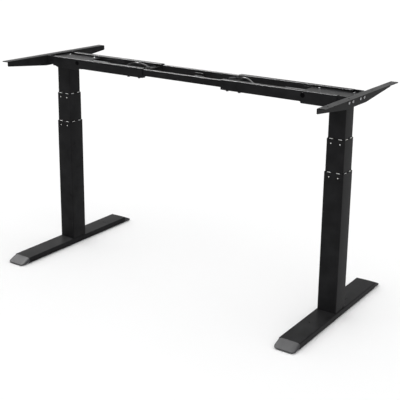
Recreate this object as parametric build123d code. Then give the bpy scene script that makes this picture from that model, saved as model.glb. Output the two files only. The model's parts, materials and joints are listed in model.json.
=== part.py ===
"""Height adjustable desk frame: two three-stage lifting columns on flat feet, joined by a
telescoping twin-rail crossbeam, with a tapered side wing at each end for the tabletop.

Millimetres, +Z up. The origin is on the floor, midway between the two feet.
Every piece of the right end is drawn in place. The left end is the same piece turned half a
turn about Z, as the two ends of the real frame are the same parts. Only the motor leads differ.
"""
from build123d import *
import math
import os

# ---------------------------------------------------------------- driving dimensions
COLUMN_X = 617.5            # column axis to the middle of the frame, at the shown width
FRAME_TOP = 808.0           # floor to the top of rails and wings, at the shown height

FOOT_LENGTH = 680.0
FOOT_WIDTH = 80.0
FOOT_HEIGHT = 22.0
FOOT_WALL = 2.5
FOOT_CORNER = 3.0
CAP_RUN = 41.0              # length of each sloped end cap
CAP_TOE = 2.5               # height left at the very tip of a cap
CAP_CORNER = 14.0
CAP_SPIGOT = 25.0
CAP_WALL = 2.0
PAD_GAP = 3.0               # foot's underside above the floor
PAD_RADIUS = 19.0
PAD_CHAMFER = 1.0
LEVEL_Y = 262.0             # levelling stud to the column axis
LEVEL_STUD_RADIUS = 4.0
LEVEL_STUD_LENGTH = 17.0
INSERT_HEIGHT = 10.0        # threaded insert above the foot's floor
INSERT_WALL = 3.0
FOOT_BOLT_OFFSET = 20.0     # from the column axis, both ways
FOOT_BOLT_RADIUS = 4.0
FOOT_BOLT_HEAD = 8.0
FOOT_BOLT_SOCKET = 3.4      # corner radius of the hexagon socket

OUTER_TUBE = 73.0           # outside width of the lowest square tube
STAGE_STEP = 2.5            # from the outside of one tube to the outside of the next
TUBE_WALL = 1.5
TUBE_CORNER = 4.0
OUTER_TUBE_TOP = 534.0
MIDDLE_TUBE_TOP = 651.0
MIDDLE_TUBE_LENGTH = 470.0
INNER_TUBE_LENGTH = 460.0
BASE_PLATE = 10.0
TOP_PLATE = 8.0

GLIDE_WIDTH = 13.0
GLIDE_LENGTH = 60.0
GLIDE_SPACING = 34.0        # between the two glides on one face
GLIDE_LIP = 1.3
GLIDE_LIP_SETBACK = 0.3     # from the tube's face to the glide's lip
BUTTON_RADIUS = 2.0
BUTTON_DROP = 16.0          # button centre below the tube's rim
BUTTON_PROUD = 0.05

PUSH_TUBE_RADIUS = 14.0
PUSH_TUBE_WALL = 2.0
PUSH_TUBE_TOP = 405.0
PUSH_NUT = 20.0
SLEEVE_RADIUS = 18.0
SLEEVE_BORE = 14.5
SLEEVE_TOP = 640.0
SLEEVE_CAP = 8.0
SCREW_FLANGE = 4.0          # thickness of the lift screw's top flange
LIFT_SCREW_RADIUS = 10.0
LIFT_SCREW_BORE = 7.0
LIFT_SCREW_BOTTOM = 150.0
LIFT_NUT = 20.0
SPINDLE_RADIUS = 6.0
SPINDLE_BOTTOM = 262.0
SPINDLE_COLLAR_RADIUS = 10.0
SPINDLE_COLLAR = 5.0        # collar's thickness
SPINDLE_END_GAP = 8.0       # spindle's end below the gearbox's top
SPINDLE_HOLE_RADIUS = 13.0  # through tray and top plate

RAIL_HEIGHT = 37.0
RAIL_WIDTH = 20.0
RAIL_WALL = 2.5
RAIL_CORNER = 1.5
BEAM_DEPTH = 140.0          # front face to rear face of the crossbeam
RAIL_INNER_END = 177.0      # from the middle of the frame
RAIL_PAST_COLUMN = 13.5     # column axis to the rails' outer ends
CHEEK_LENGTH = 134.0        # where the rails' outer faces are deeper
CHEEK_DROP = 6.0
CHEEK_SLOPE_RUN = 22.0
CHEEK_SLOPE_RISE = 8.5
CENTRE_RAIL_HALF = 450.0
CENTRE_RAIL_HEIGHT = 25.4
CENTRE_RAIL_WIDTH = 12.5
CENTRE_RAIL_DROP = 1.2      # below the outer rail's inner top face
CENTRE_RAIL_WALL = 2.0
BUSH_LENGTH = 40.0
BUSH_RECESS = 3.0
PLUG_FROM_COLUMN = 112.5
PLUG_DROP = 15.0
PLUG_RADIUS = 8.5
PLUG_HEAD = 2.2
PLUG_BODY_RADIUS = 6.0
PLUG_WALL = 2.0
LOCK_PLACES = (22.0, 73.0)  # from the rails' inner ends
LOCK_SCREW_RADIUS = 3.0
LOCK_HEAD = 4.0
LOCK_HEAD_FLATS = 10.0
TIE_FROM_RAIL_END = 5.0
TIE_WIDTH = 30.0
TIE_DROP = 9.0              # tie's top face below the frame's top
TIE_THICKNESS = 2.5
TIE_TAB = 18.0
CENTRE_TIE_WIDTH = 40.0
CENTRE_TIE_TAB = 14.0

TRAY_LENGTH = 155.0
TRAY_PAST_COLUMN = 37.5
TRAY_THICKNESS = 3.0
TRAY_WALL = 2.5
TRAY_FLANGE = 11.0
TRAY_FLANGE_DROP = 9.0
TRAY_WINDOW_GAP = 4.0       # beside the motor
COVER_INWARD = 17.0         # lid past the tray's inner end
COVER_OUTWARD = 8.0         # lid past the tray's outer end
COVER_THICKNESS = 1.5
COVER_CORNER = 7.0
COVER_SCREW_INSET = 12.0
COVER_SCREW_RADIUS = 2.0
COVER_SCREW_HEAD_RADIUS = 3.8
COVER_SCREW_HEAD = 2.2
MOTOR_RADIUS = 16.0
MOTOR_LENGTH = 188.5        # can and end cap
MOTOR_END_CAP = 10.0
MOTOR_END_STEP = 1.5
MOTOR_FLANGE = 6.0
GEARBOX_LENGTH = 62.0
GEARBOX_WIDTH = 54.0
GEARBOX_HEIGHT = 25.5
GEARBOX_CORNER = 6.0
GEARBOX_EDGE = 1.5
GEARBOX_BOSS_RADIUS = 15.0
GEARBOX_BOSS = 3.0
GEARBOX_SCREW_X = 20.5
GEARBOX_SCREW_Y = 21.0
GEARBOX_SCREW_RADIUS = 2.5
GEARBOX_SCREW_HEAD_RADIUS = 4.3
GEARBOX_SCREW_HEAD = 3.5

WING_LENGTH = 560.0
WING_FROM_COLUMN = 50.0     # column axis to the inner face of the wing's web
WING_FLANGE = 30.5
WING_SHEET = 3.0
WING_DEPTH = 41.0           # web depth at the middle
WING_TIP_DEPTH = 19.0
WING_FLAT = 152.0           # length of the web's straight middle
WING_BEND = 4.0
WING_TIP_CORNER = 4.0
WING_HOLE_YS = (90.0, 240.0)
WING_HOLE_RADIUS = 3.5
BRACKET_LEG = 47.5          # along the web
BRACKET_REACH = 55.5        # along the rail
BRACKET_HEIGHT = 31.0
BRACKET_HOLE_RADIUS = 3.5
BRACKET_HOLE_PAST_RAIL = 14.0
WING_SCREW_INSETS = (12.0, 41.0)    # from the beam's outer faces
WING_SCREW_DROP = 21.0
WING_SCREW_RADIUS = 3.0
WING_SCREW_HEAD_RADIUS = 5.5
WING_SCREW_HEAD = 3.2
WING_NUT = 4.5
WING_NUT_FLATS = 10.0

LEAD_RADIUS = 3.0
LEAD_PLUG_LENGTH = 20.0
GLAND_LENGTH = 9.0
CLIP_LENGTH = 6.0
CLIP_WALL = 1.4

# ---------------------------------------------------------------- clearances
RUNNING_FIT = 0.05          # radial, for turning and sliding screws in their nuts
GLIDE_GAP = 0.15            # between a glide and the tube that slides past it
BUSH_GAP = 0.15
SLIP_FIT = 0.1
HOLE_GAP = 0.2              # radial, for a screw in a plain hole
LEAD_CLEARANCE = 0.02
LINER_FIT = 0.02
CLIP_CLEARANCE = 0.4
SEAT_GAP = 0.5              # between neighbouring pieces that don't bear on each other

# ---------------------------------------------------------------- sizes worked out from those
MIDDLE_TUBE = OUTER_TUBE - 2 * STAGE_STEP
INNER_TUBE = MIDDLE_TUBE - 2 * STAGE_STEP
RAIL_OUTER_END = COLUMN_X + RAIL_PAST_COLUMN
CHEEK_START = RAIL_OUTER_END - CHEEK_LENGTH
PLUG_X = COLUMN_X - PLUG_FROM_COLUMN
LOCK_XS = [RAIL_INNER_END + place for place in LOCK_PLACES]
TIE_START = RAIL_INNER_END + TIE_FROM_RAIL_END
TRAY_END = COLUMN_X + TRAY_PAST_COLUMN
TRAY_START = TRAY_END - TRAY_LENGTH
COVER_START = TRAY_START - COVER_INWARD
COVER_END = TRAY_END + COVER_OUTWARD
WING_INNER = COLUMN_X + WING_FROM_COLUMN
FOOT_TOP = PAD_GAP + FOOT_HEIGHT
PLATE_TOP = FOOT_TOP + BASE_PLATE
RAIL_BOTTOM = FRAME_TOP - RAIL_HEIGHT
HEAD_BOTTOM = RAIL_BOTTOM - CHEEK_DROP + SEAT_GAP
TRAY_TOP = HEAD_BOTTOM + TRAY_THICKNESS
BEAM_FACE = BEAM_DEPTH / 2
BEAM_INSIDE = BEAM_FACE - RAIL_WIDTH
CENTRE_RAIL_TOP = FRAME_TOP - RAIL_WALL - CENTRE_RAIL_DROP
CENTRE_RAIL_BOTTOM = CENTRE_RAIL_TOP - CENTRE_RAIL_HEIGHT
RAIL_MIDDLE_Y = BEAM_FACE - RAIL_WIDTH / 2
CENTRE_RAIL_INSIDE = RAIL_MIDDLE_Y - CENTRE_RAIL_WIDTH / 2
COVER_BOTTOM = FRAME_TOP - TRAY_FLANGE_DROP
TIE_TOP = FRAME_TOP - TIE_DROP
WING_OUTER = WING_INNER + WING_FLANGE
MIDDLE_TUBE_BOTTOM = MIDDLE_TUBE_TOP - MIDDLE_TUBE_LENGTH
INNER_TUBE_BOTTOM = HEAD_BOTTOM - INNER_TUBE_LENGTH
GEARBOX_START = COLUMN_X + GEARBOX_LENGTH / 2 - GEARBOX_LENGTH
GEARBOX_TOP = TRAY_TOP + GEARBOX_HEIGHT
MOTOR_AXIS_Z = COVER_BOTTOM - SEAT_GAP - MOTOR_RADIUS
MOTOR_CAN_END = GEARBOX_START - MOTOR_FLANGE - MOTOR_LENGTH + MOTOR_END_CAP
MOTOR_INNER_END = MOTOR_CAN_END - MOTOR_END_CAP
WING_SCREW_YS = [BEAM_FACE - inset for inset in WING_SCREW_INSETS]


# ---------------------------------------------------------------- small shape helpers
def block(x_span, y_span, z_span):
    """A box from its spans along X, Y and Z."""
    spans = (x_span, y_span, z_span)
    middle = [(low + high) / 2 for low, high in spans]
    return Pos(*middle) * Box(*[high - low for low, high in spans])


def rod(axis, at, radius, span):
    """A cylinder along X, Y or Z. at holds the other two coordinates, in X, Y, Z order."""
    length = span[1] - span[0]
    middle = (span[0] + span[1]) / 2
    if axis == "x":
        return Pos(middle, *at) * Rot(0, 90, 0) * Cylinder(radius, length)
    if axis == "y":
        return Pos(at[0], middle, at[1]) * Rot(90, 0, 0) * Cylinder(radius, length)
    return Pos(at[0], at[1], middle) * Cylinder(radius, length)


def hex_prism(at, across_flats, span):
    """A hexagonal prism along X."""
    shape = extrude(RegularPolygon(across_flats / math.sqrt(3), 6), span[1] - span[0])
    return Pos(span[0], *at) * Rot(0, 90, 0) * shape


def square_tube(width, wall, bottom, top):
    """A square tube with rounded corners, standing on the column axis."""
    outside = extrude(RectangleRounded(width, width, TUBE_CORNER), top - bottom)
    bore_width = width - 2 * wall
    inside = extrude(RectangleRounded(bore_width, bore_width, TUBE_CORNER - wall), top - bottom)
    return Pos(COLUMN_X, 0, bottom) * (outside - inside)


def on_four_faces(shape):
    """Copies of a shape made about the Z axis, on all four faces of the column."""
    return [Pos(COLUMN_X, 0, 0) * Rot(0, 0, 90 * turn) * shape for turn in range(4)]


def both_y(shape):
    """A shape and its mirror image in the frame's middle plane."""
    return [shape, mirror(shape, about=Plane.XZ)]


# ---------------------------------------------------------------- foot
def foot():
    """A flat rectangular tube with bolt holes, access holes and two levelling inserts."""
    half = FOOT_LENGTH / 2 - CAP_RUN
    corner = FOOT_CORNER
    outline = RectangleRounded(FOOT_WIDTH, FOOT_HEIGHT, corner)
    bore = RectangleRounded(FOOT_WIDTH - 2 * FOOT_WALL, FOOT_HEIGHT - 2 * FOOT_WALL, corner / 3)
    middle_z = PAD_GAP + FOOT_HEIGHT / 2
    tube = Pos(COLUMN_X, half, middle_z) * Rot(90, 0, 0) * extrude(outline - bore, 2 * half)
    for x in (COLUMN_X - FOOT_BOLT_OFFSET, COLUMN_X + FOOT_BOLT_OFFSET):
        for y in (-FOOT_BOLT_OFFSET, FOOT_BOLT_OFFSET):
            tube -= rod("z", (x, y), FOOT_BOLT_RADIUS + HOLE_GAP, (middle_z, FOOT_TOP + 1))
            tube -= rod("z", (x, y), 2 * FOOT_BOLT_RADIUS, (0, middle_z))
    insert_top = PAD_GAP + FOOT_WALL + INSERT_HEIGHT
    for y in (-LEVEL_Y, LEVEL_Y):
        tube += rod("z", (COLUMN_X, y), LEVEL_STUD_RADIUS + INSERT_WALL,
                    (PAD_GAP + FOOT_WALL / 2, insert_top))
        tube -= rod("z", (COLUMN_X, y), LEVEL_STUD_RADIUS + RUNNING_FIT, (0, insert_top + 1))
    return tube


def foot_caps():
    """Sloped plastic caps with a hollow spigot that plugs into each end of the foot."""
    half = FOOT_LENGTH / 2
    root = half - CAP_RUN
    with BuildPart() as cap:
        with BuildSketch(Plane.YZ.offset(COLUMN_X - FOOT_WIDTH / 2)):
            with BuildLine():
                Polyline((root, PAD_GAP), (half, PAD_GAP), (half, PAD_GAP + CAP_TOE),
                         (root, FOOT_TOP), close=True)
            make_face()
        extrude(amount=FOOT_WIDTH)
    plan = extrude(RectangleRounded(FOOT_WIDTH, FOOT_LENGTH, CAP_CORNER), FOOT_TOP)
    wedge = cap.part & (Pos(COLUMN_X, 0, 0) * plan)
    wide = FOOT_WIDTH / 2 - FOOT_WALL - SLIP_FIT
    low = PAD_GAP + FOOT_WALL + SLIP_FIT
    high = FOOT_TOP - FOOT_WALL - SLIP_FIT
    outline = RectangleRounded(2 * wide, high - low, FOOT_CORNER / 2)
    hollow = RectangleRounded(2 * (wide - CAP_WALL), high - low - 2 * CAP_WALL, FOOT_CORNER / 3)
    at_root = Pos(COLUMN_X, root, (low + high) / 2) * Rot(90, 0, 0)
    spigot = at_root * extrude(outline - hollow, CAP_SPIGOT)
    spigot += at_root * extrude(outline, CAP_WALL)
    return both_y(wedge + spigot)


def foot_bolts():
    """Four cap screws, up through the foot into the column's base plate."""
    bolts = []
    seat = FOOT_TOP - FOOT_WALL
    for x in (COLUMN_X - FOOT_BOLT_OFFSET, COLUMN_X + FOOT_BOLT_OFFSET):
        for y in (-FOOT_BOLT_OFFSET, FOOT_BOLT_OFFSET):
            head_low = seat - FOOT_BOLT_HEAD
            head = rod("z", (x, y), 1.6 * FOOT_BOLT_RADIUS, (head_low, seat))
            socket = RegularPolygon(FOOT_BOLT_SOCKET, 6)
            socket = Pos(x, y, head_low) * extrude(socket, FOOT_BOLT_HEAD / 2)
            shank = rod("z", (x, y), FOOT_BOLT_RADIUS, (seat, PLATE_TOP - 1))
            bolts.append(head - socket + shank)
    return bolts


def levelling_foot(y):
    """A round pad on a threaded stud, screwed up into the foot."""
    pad_top = PAD_GAP - HOLE_GAP
    pad = rod("z", (COLUMN_X, y), PAD_RADIUS, (0, pad_top))
    pad = chamfer(pad.edges().group_by(Axis.Z)[-1], PAD_CHAMFER)
    stud = rod("z", (COLUMN_X, y), LEVEL_STUD_RADIUS, (pad_top - 1, pad_top + LEVEL_STUD_LENGTH))
    return pad + stud


# ---------------------------------------------------------------- column tubes
def outer_tube():
    """The lowest tube, with its threaded base plate welded in and holes for the glide buttons."""
    tube = square_tube(OUTER_TUBE, TUBE_WALL, FOOT_TOP, OUTER_TUBE_TOP)
    plate = OUTER_TUBE - 2 * TUBE_WALL
    base = extrude(RectangleRounded(plate, plate, TUBE_CORNER - TUBE_WALL), BASE_PLATE)
    tube += Pos(COLUMN_X, 0, FOOT_TOP) * base
    for x in (COLUMN_X - FOOT_BOLT_OFFSET, COLUMN_X + FOOT_BOLT_OFFSET):
        for y in (-FOOT_BOLT_OFFSET, FOOT_BOLT_OFFSET):
            tube -= rod("z", (x, y), FOOT_BOLT_RADIUS + RUNNING_FIT, (FOOT_TOP - 1, PLATE_TOP + 1))
    return tube - button_cutters(OUTER_TUBE, OUTER_TUBE_TOP)


def middle_tube():
    tube = square_tube(MIDDLE_TUBE, TUBE_WALL, MIDDLE_TUBE_BOTTOM, MIDDLE_TUBE_TOP)
    return tube - button_cutters(MIDDLE_TUBE, MIDDLE_TUBE_TOP)


def inner_tube():
    """The thinnest tube, with the plate welded into its top that the gearbox screws hold."""
    tube = square_tube(INNER_TUBE, TUBE_WALL, INNER_TUBE_BOTTOM, HEAD_BOTTOM)
    plate = INNER_TUBE - 2 * TUBE_WALL
    top = extrude(RectangleRounded(plate, plate, TUBE_CORNER - TUBE_WALL), TOP_PLATE)
    tube += Pos(COLUMN_X, 0, HEAD_BOTTOM - TOP_PLATE) * top
    tube -= rod("z", (COLUMN_X, 0), SPINDLE_HOLE_RADIUS, (HEAD_BOTTOM - TOP_PLATE - 1, HEAD_BOTTOM + 1))
    for x, y in gearbox_screw_places():
        tube -= rod("z", (x, y), GEARBOX_SCREW_RADIUS + RUNNING_FIT,
                    (HEAD_BOTTOM - TOP_PLATE - 1, HEAD_BOTTOM + 1))
    return tube


def button_cutters(width, rim):
    """Round holes through a tube's front and rear walls, one for each glide's button."""
    face = width / 2
    cutters = []
    for offset in (-GLIDE_SPACING / 2, GLIDE_SPACING / 2):
        hole = rod("y", (offset, rim - BUTTON_DROP), BUTTON_RADIUS + SLIP_FIT,
                   (-face - 1, -face + TUBE_WALL + 1))
        cutters += on_four_faces(hole)[::2]
    return cutters


def glides(width, rim, sliding_width):
    """Nylon strips inside a tube's rim, two on each face. Each hooks over the rim with a lip,
    and those at the front and rear are held by a button that shows through the tube's wall."""
    face = -width / 2
    inside = face + TUBE_WALL
    back = -sliding_width / 2 - GLIDE_GAP
    pieces = []
    for offset in (-GLIDE_SPACING / 2, GLIDE_SPACING / 2):
        span = (offset - GLIDE_WIDTH / 2, offset + GLIDE_WIDTH / 2)
        strip = block(span, (inside, back), (rim - GLIDE_LENGTH, rim + GLIDE_LIP))
        lip = block(span, (face + GLIDE_LIP_SETBACK, inside), (rim, rim + GLIDE_LIP))
        button = rod("y", (offset, rim - BUTTON_DROP), BUTTON_RADIUS, (face - BUTTON_PROUD, inside))
        pieces += on_four_faces(strip + lip + button)[::2]
        pieces += on_four_faces(strip + lip)[1::2]
    return pieces


def lower_glides():
    return glides(OUTER_TUBE, OUTER_TUBE_TOP, MIDDLE_TUBE)


def upper_glides():
    return glides(MIDDLE_TUBE, MIDDLE_TUBE_TOP, INNER_TUBE)


# ---------------------------------------------------------------- lifting screws
def push_tube():
    """A tube that stands on the base plate and carries the lower nut at its top."""
    tube = rod("z", (COLUMN_X, 0), PUSH_TUBE_RADIUS, (PLATE_TOP, PUSH_TUBE_TOP))
    tube -= rod("z", (COLUMN_X, 0), PUSH_TUBE_RADIUS - PUSH_TUBE_WALL,
                (PLATE_TOP - 1, PUSH_TUBE_TOP - PUSH_NUT))
    return tube - rod("z", (COLUMN_X, 0), LIFT_SCREW_RADIUS + RUNNING_FIT,
                      (PUSH_TUBE_TOP - PUSH_NUT - 1, PUSH_TUBE_TOP + 1))


def middle_sleeve():
    """A sleeve on a square foot in the middle tube's lower end. Its cap carries the lift screw."""
    width = MIDDLE_TUBE - 2 * TUBE_WALL
    flange = extrude(RectangleRounded(width, width, TUBE_CORNER - TUBE_WALL), SLEEVE_CAP)
    sleeve = Pos(COLUMN_X, 0, MIDDLE_TUBE_BOTTOM) * flange
    sleeve += rod("z", (COLUMN_X, 0), SLEEVE_RADIUS, (MIDDLE_TUBE_BOTTOM, SLEEVE_TOP))
    sleeve -= rod("z", (COLUMN_X, 0), SLEEVE_BORE, (MIDDLE_TUBE_BOTTOM - 1, SLEEVE_TOP - SLEEVE_CAP))
    return sleeve - rod("z", (COLUMN_X, 0), LIFT_SCREW_RADIUS + RUNNING_FIT,
                        (SLEEVE_TOP - SLEEVE_CAP - 1, SLEEVE_TOP + 1))


def lift_screw():
    """A hollow screw that hangs in the sleeve by its flange and carries the upper nut."""
    screw = rod("z", (COLUMN_X, 0), LIFT_SCREW_RADIUS, (LIFT_SCREW_BOTTOM, SLEEVE_TOP))
    top = SLEEVE_TOP + SCREW_FLANGE
    screw += rod("z", (COLUMN_X, 0), SLEEVE_BORE, (SLEEVE_TOP, top))
    screw -= rod("z", (COLUMN_X, 0), LIFT_SCREW_BORE, (LIFT_SCREW_BOTTOM - 1, top - LIFT_NUT))
    return screw - rod("z", (COLUMN_X, 0), SPINDLE_RADIUS + RUNNING_FIT, (top - LIFT_NUT - 1, top + 1))


def spindle():
    """The inner screw, which hangs from the gearbox."""
    shaft = rod("z", (COLUMN_X, 0), SPINDLE_RADIUS, (SPINDLE_BOTTOM, GEARBOX_TOP - SPINDLE_END_GAP))
    collar_top = HEAD_BOTTOM - 2 * SEAT_GAP
    return shaft + rod("z", (COLUMN_X, 0), SPINDLE_COLLAR_RADIUS,
                       (collar_top - SPINDLE_COLLAR, collar_top))


# ---------------------------------------------------------------- head of the column
def gearbox_screw_places():
    return [(COLUMN_X + dx, y) for dx in (-GEARBOX_SCREW_X, GEARBOX_SCREW_X)
            for y in (-GEARBOX_SCREW_Y, GEARBOX_SCREW_Y)]


def cover_screw_places():
    y = BEAM_INSIDE - TRAY_WALL - TRAY_FLANGE / 2
    return [(x, side * y) for x in (TRAY_START + COVER_SCREW_INSET, TRAY_END - COVER_SCREW_INSET)
            for side in (-1, 1)]


def head_tray():
    """A folded steel tray between the rails: base, two side walls and two inward flanges."""
    x_span = (TRAY_START, TRAY_END)
    inside = BEAM_INSIDE - TRAY_WALL
    tray = block(x_span, (-BEAM_INSIDE, BEAM_INSIDE), (HEAD_BOTTOM, TRAY_TOP))
    for side in (-1, 1):
        wall = sorted((side * inside, side * BEAM_INSIDE))
        flange = sorted((side * (inside - TRAY_FLANGE), side * BEAM_INSIDE))
        tray += block(x_span, wall, (HEAD_BOTTOM, COVER_BOTTOM))
        tray += block(x_span, flange, (COVER_BOTTOM - TRAY_WALL, COVER_BOTTOM))
    window = MOTOR_RADIUS + TRAY_WINDOW_GAP
    tray -= block((TRAY_START - 1, GEARBOX_START), (-window, window), (HEAD_BOTTOM - 1, TRAY_TOP + 1))
    tray -= rod("z", (COLUMN_X, 0), SPINDLE_HOLE_RADIUS, (HEAD_BOTTOM - 1, TRAY_TOP + 1))
    for x, y in gearbox_screw_places():
        tray -= rod("z", (x, y), GEARBOX_SCREW_RADIUS + HOLE_GAP, (HEAD_BOTTOM - 1, TRAY_TOP + 1))
    for x, y in cover_screw_places():
        tray -= rod("z", (x, y), COVER_SCREW_RADIUS + HOLE_GAP,
                    (COVER_BOTTOM - TRAY_WALL - 1, COVER_BOTTOM + 1))
    return tray


def head_cover():
    """A flat lid over motor and gearbox, with rounded inner corners."""
    length = COVER_END - COVER_START
    width = 2 * (BEAM_INSIDE - SLIP_FIT)
    plan = extrude(RectangleRounded(length, width, COVER_CORNER), COVER_THICKNESS)
    lid = Pos((COVER_START + COVER_END) / 2, 0, COVER_BOTTOM) * plan
    for x, y in cover_screw_places():
        lid -= rod("z", (x, y), COVER_SCREW_RADIUS + HOLE_GAP,
                   (COVER_BOTTOM - 1, COVER_BOTTOM + COVER_THICKNESS + 1))
    return lid


def gearbox():
    """A cast housing with rounded edges, a raised top boss and the spindle's bore."""
    x_span = (GEARBOX_START, GEARBOX_START + GEARBOX_LENGTH)
    half = GEARBOX_WIDTH / 2
    body = block(x_span, (-half, half), (TRAY_TOP, GEARBOX_TOP))
    body = fillet(body.edges().filter_by(Axis.Z), GEARBOX_CORNER)
    body = fillet(body.edges().group_by(Axis.Z)[-1], GEARBOX_EDGE)
    body += rod("z", (COLUMN_X, 0), GEARBOX_BOSS_RADIUS, (GEARBOX_TOP - 1, GEARBOX_TOP + GEARBOX_BOSS))
    body -= rod("z", (COLUMN_X, 0), SPINDLE_RADIUS + RUNNING_FIT,
                (TRAY_TOP - 1, GEARBOX_TOP - SPINDLE_END_GAP))
    for x, y in gearbox_screw_places():
        body -= rod("z", (x, y), GEARBOX_SCREW_RADIUS + HOLE_GAP, (TRAY_TOP - 1, GEARBOX_TOP + 1))
    return body


def motor():
    """A round motor lying along the beam: flange, can, stepped end cap and terminal boss."""
    flange_x = GEARBOX_START - MOTOR_FLANGE
    low = TRAY_TOP + SEAT_GAP
    high = COVER_BOTTOM - 2 * SEAT_GAP
    flange = block((flange_x, GEARBOX_START), (-MOTOR_RADIUS - 2, MOTOR_RADIUS + 2), (low, high))
    flange = fillet(flange.edges().filter_by(Axis.X), 5)
    can = rod("x", (0, MOTOR_AXIS_Z), MOTOR_RADIUS, (MOTOR_CAN_END, flange_x))
    end_cap = rod("x", (0, MOTOR_AXIS_Z), MOTOR_RADIUS - MOTOR_END_STEP,
                  (MOTOR_INNER_END, MOTOR_CAN_END))
    end_cap = fillet(end_cap.edges().group_by(Axis.X)[0], 3)
    return flange + can + end_cap


def cross_recess(x, y, top, reach, deep):
    """The cutter of a cross recess in the top of a screw's head."""
    slot = reach / 5
    z_span = (top - deep, top + 1)
    return (block((x - reach, x + reach), (y - slot, y + slot), z_span)
            + block((x - slot, x + slot), (y - reach, y + reach), z_span))


def gearbox_screw(x, y):
    head_top = GEARBOX_TOP + GEARBOX_SCREW_HEAD
    head = rod("z", (x, y), GEARBOX_SCREW_HEAD_RADIUS, (GEARBOX_TOP, head_top))
    socket = RegularPolygon(GEARBOX_SCREW_HEAD_RADIUS / 2, 6)
    head -= Pos(x, y, head_top - GEARBOX_SCREW_HEAD / 2) * extrude(socket, GEARBOX_SCREW_HEAD)
    return head + rod("z", (x, y), GEARBOX_SCREW_RADIUS, (HEAD_BOTTOM - TOP_PLATE + 1, GEARBOX_TOP))


def cover_screw(x, y):
    lid_top = COVER_BOTTOM + COVER_THICKNESS
    head_top = lid_top + COVER_SCREW_HEAD
    head = rod("z", (x, y), COVER_SCREW_HEAD_RADIUS, (lid_top, head_top))
    head = fillet(head.edges().group_by(Axis.Z)[-1], 0.6 * COVER_SCREW_HEAD)
    head -= cross_recess(x, y, head_top, 0.55 * COVER_SCREW_HEAD_RADIUS, COVER_SCREW_HEAD / 2)
    return head + rod("z", (x, y), COVER_SCREW_RADIUS, (COVER_BOTTOM - TRAY_WALL - 3, lid_top))


def lock_screw(x):
    """A hexagon head under the rear rail, with its shank's end just below the centre rail."""
    head = extrude(RegularPolygon(LOCK_HEAD_FLATS / math.sqrt(3), 6), LOCK_HEAD)
    shank = rod("z", (x, RAIL_MIDDLE_Y), LOCK_SCREW_RADIUS,
                (RAIL_BOTTOM - 1, CENTRE_RAIL_BOTTOM - BUSH_GAP))
    return Pos(x, RAIL_MIDDLE_Y, RAIL_BOTTOM - LOCK_HEAD) * head + shank


def head_screws():
    """Gearbox screws, cover screws and the rail lock screws, all of one end."""
    screws = [gearbox_screw(x, y) for x, y in gearbox_screw_places()]
    screws += [cover_screw(x, y) for x, y in cover_screw_places()]
    for x in LOCK_XS:
        screws += both_y(lock_screw(x))
    return screws


# ---------------------------------------------------------------- crossbeam
def outer_rail():
    """The front rail of one end: a rectangular tube whose outer face runs deeper at the head."""
    x_span = (RAIL_INNER_END, RAIL_OUTER_END)
    rail = block(x_span, (-BEAM_FACE, -BEAM_INSIDE), (RAIL_BOTTOM, FRAME_TOP))
    rail = fillet(rail.edges().filter_by(Axis.X), RAIL_CORNER)
    cheek_bottom = RAIL_BOTTOM - CHEEK_DROP
    cheek = block((CHEEK_START, RAIL_OUTER_END), (-BEAM_FACE, -BEAM_FACE + RAIL_WALL),
                  (cheek_bottom, RAIL_BOTTOM + RAIL_WALL))
    inner_corner = cheek.edges().filter_by(Axis.Y).group_by(Axis.Z)[0].sort_by(Axis.X)[0]
    rail += fillet(inner_corner, CHEEK_DROP - 1)
    rail -= block((RAIL_INNER_END - 1, RAIL_OUTER_END + 1),
                  (-BEAM_FACE + RAIL_WALL, -BEAM_INSIDE - RAIL_WALL),
                  (RAIL_BOTTOM + RAIL_WALL, FRAME_TOP - RAIL_WALL))
    slope = Polyline((RAIL_OUTER_END + 1, cheek_bottom + CHEEK_SLOPE_RISE),
                     (RAIL_OUTER_END, cheek_bottom + CHEEK_SLOPE_RISE),
                     (RAIL_OUTER_END - CHEEK_SLOPE_RUN, cheek_bottom),
                     (RAIL_OUTER_END - CHEEK_SLOPE_RUN, cheek_bottom - 1),
                     (RAIL_OUTER_END + 1, cheek_bottom - 1), close=True)
    wedge = Plane.XZ * make_face(slope)
    rail -= Pos(0, -BEAM_INSIDE + 1, 0) * extrude(wedge, RAIL_WIDTH + 2)
    plug_z = FRAME_TOP - PLUG_DROP
    rail -= rod("y", (PLUG_X, plug_z), PLUG_BODY_RADIUS + SLIP_FIT,
                (-BEAM_FACE - 1, -BEAM_FACE + RAIL_WALL + 1))
    for x in LOCK_XS:
        rail -= rod("z", (x, -RAIL_MIDDLE_Y), LOCK_SCREW_RADIUS + HOLE_GAP,
                    (RAIL_BOTTOM - 1, RAIL_BOTTOM + RAIL_WALL + 1))
    return rail


def outer_rails():
    return both_y(outer_rail())


def rail_bushes():
    """Plastic liners in the rails' inner ends, which the centre rails slide through."""
    start = RAIL_INNER_END + BUSH_RECESS
    x_span = (start, start + BUSH_LENGTH)
    inset = RAIL_WALL + LINER_FIT
    liner = block(x_span, (-BEAM_FACE + inset, -BEAM_INSIDE - inset),
                  (RAIL_BOTTOM + inset, FRAME_TOP - inset))
    half = CENTRE_RAIL_WIDTH / 2 + BUSH_GAP
    liner -= block((start - 1, start + BUSH_LENGTH + 1), (-RAIL_MIDDLE_Y - half, -RAIL_MIDDLE_Y + half),
                   (CENTRE_RAIL_BOTTOM - BUSH_GAP, CENTRE_RAIL_TOP + BUSH_GAP))
    liner -= rod("z", (LOCK_XS[0], -RAIL_MIDDLE_Y), LOCK_SCREW_RADIUS + HOLE_GAP,
                 (RAIL_BOTTOM, CENTRE_RAIL_BOTTOM))
    return both_y(liner)


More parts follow.
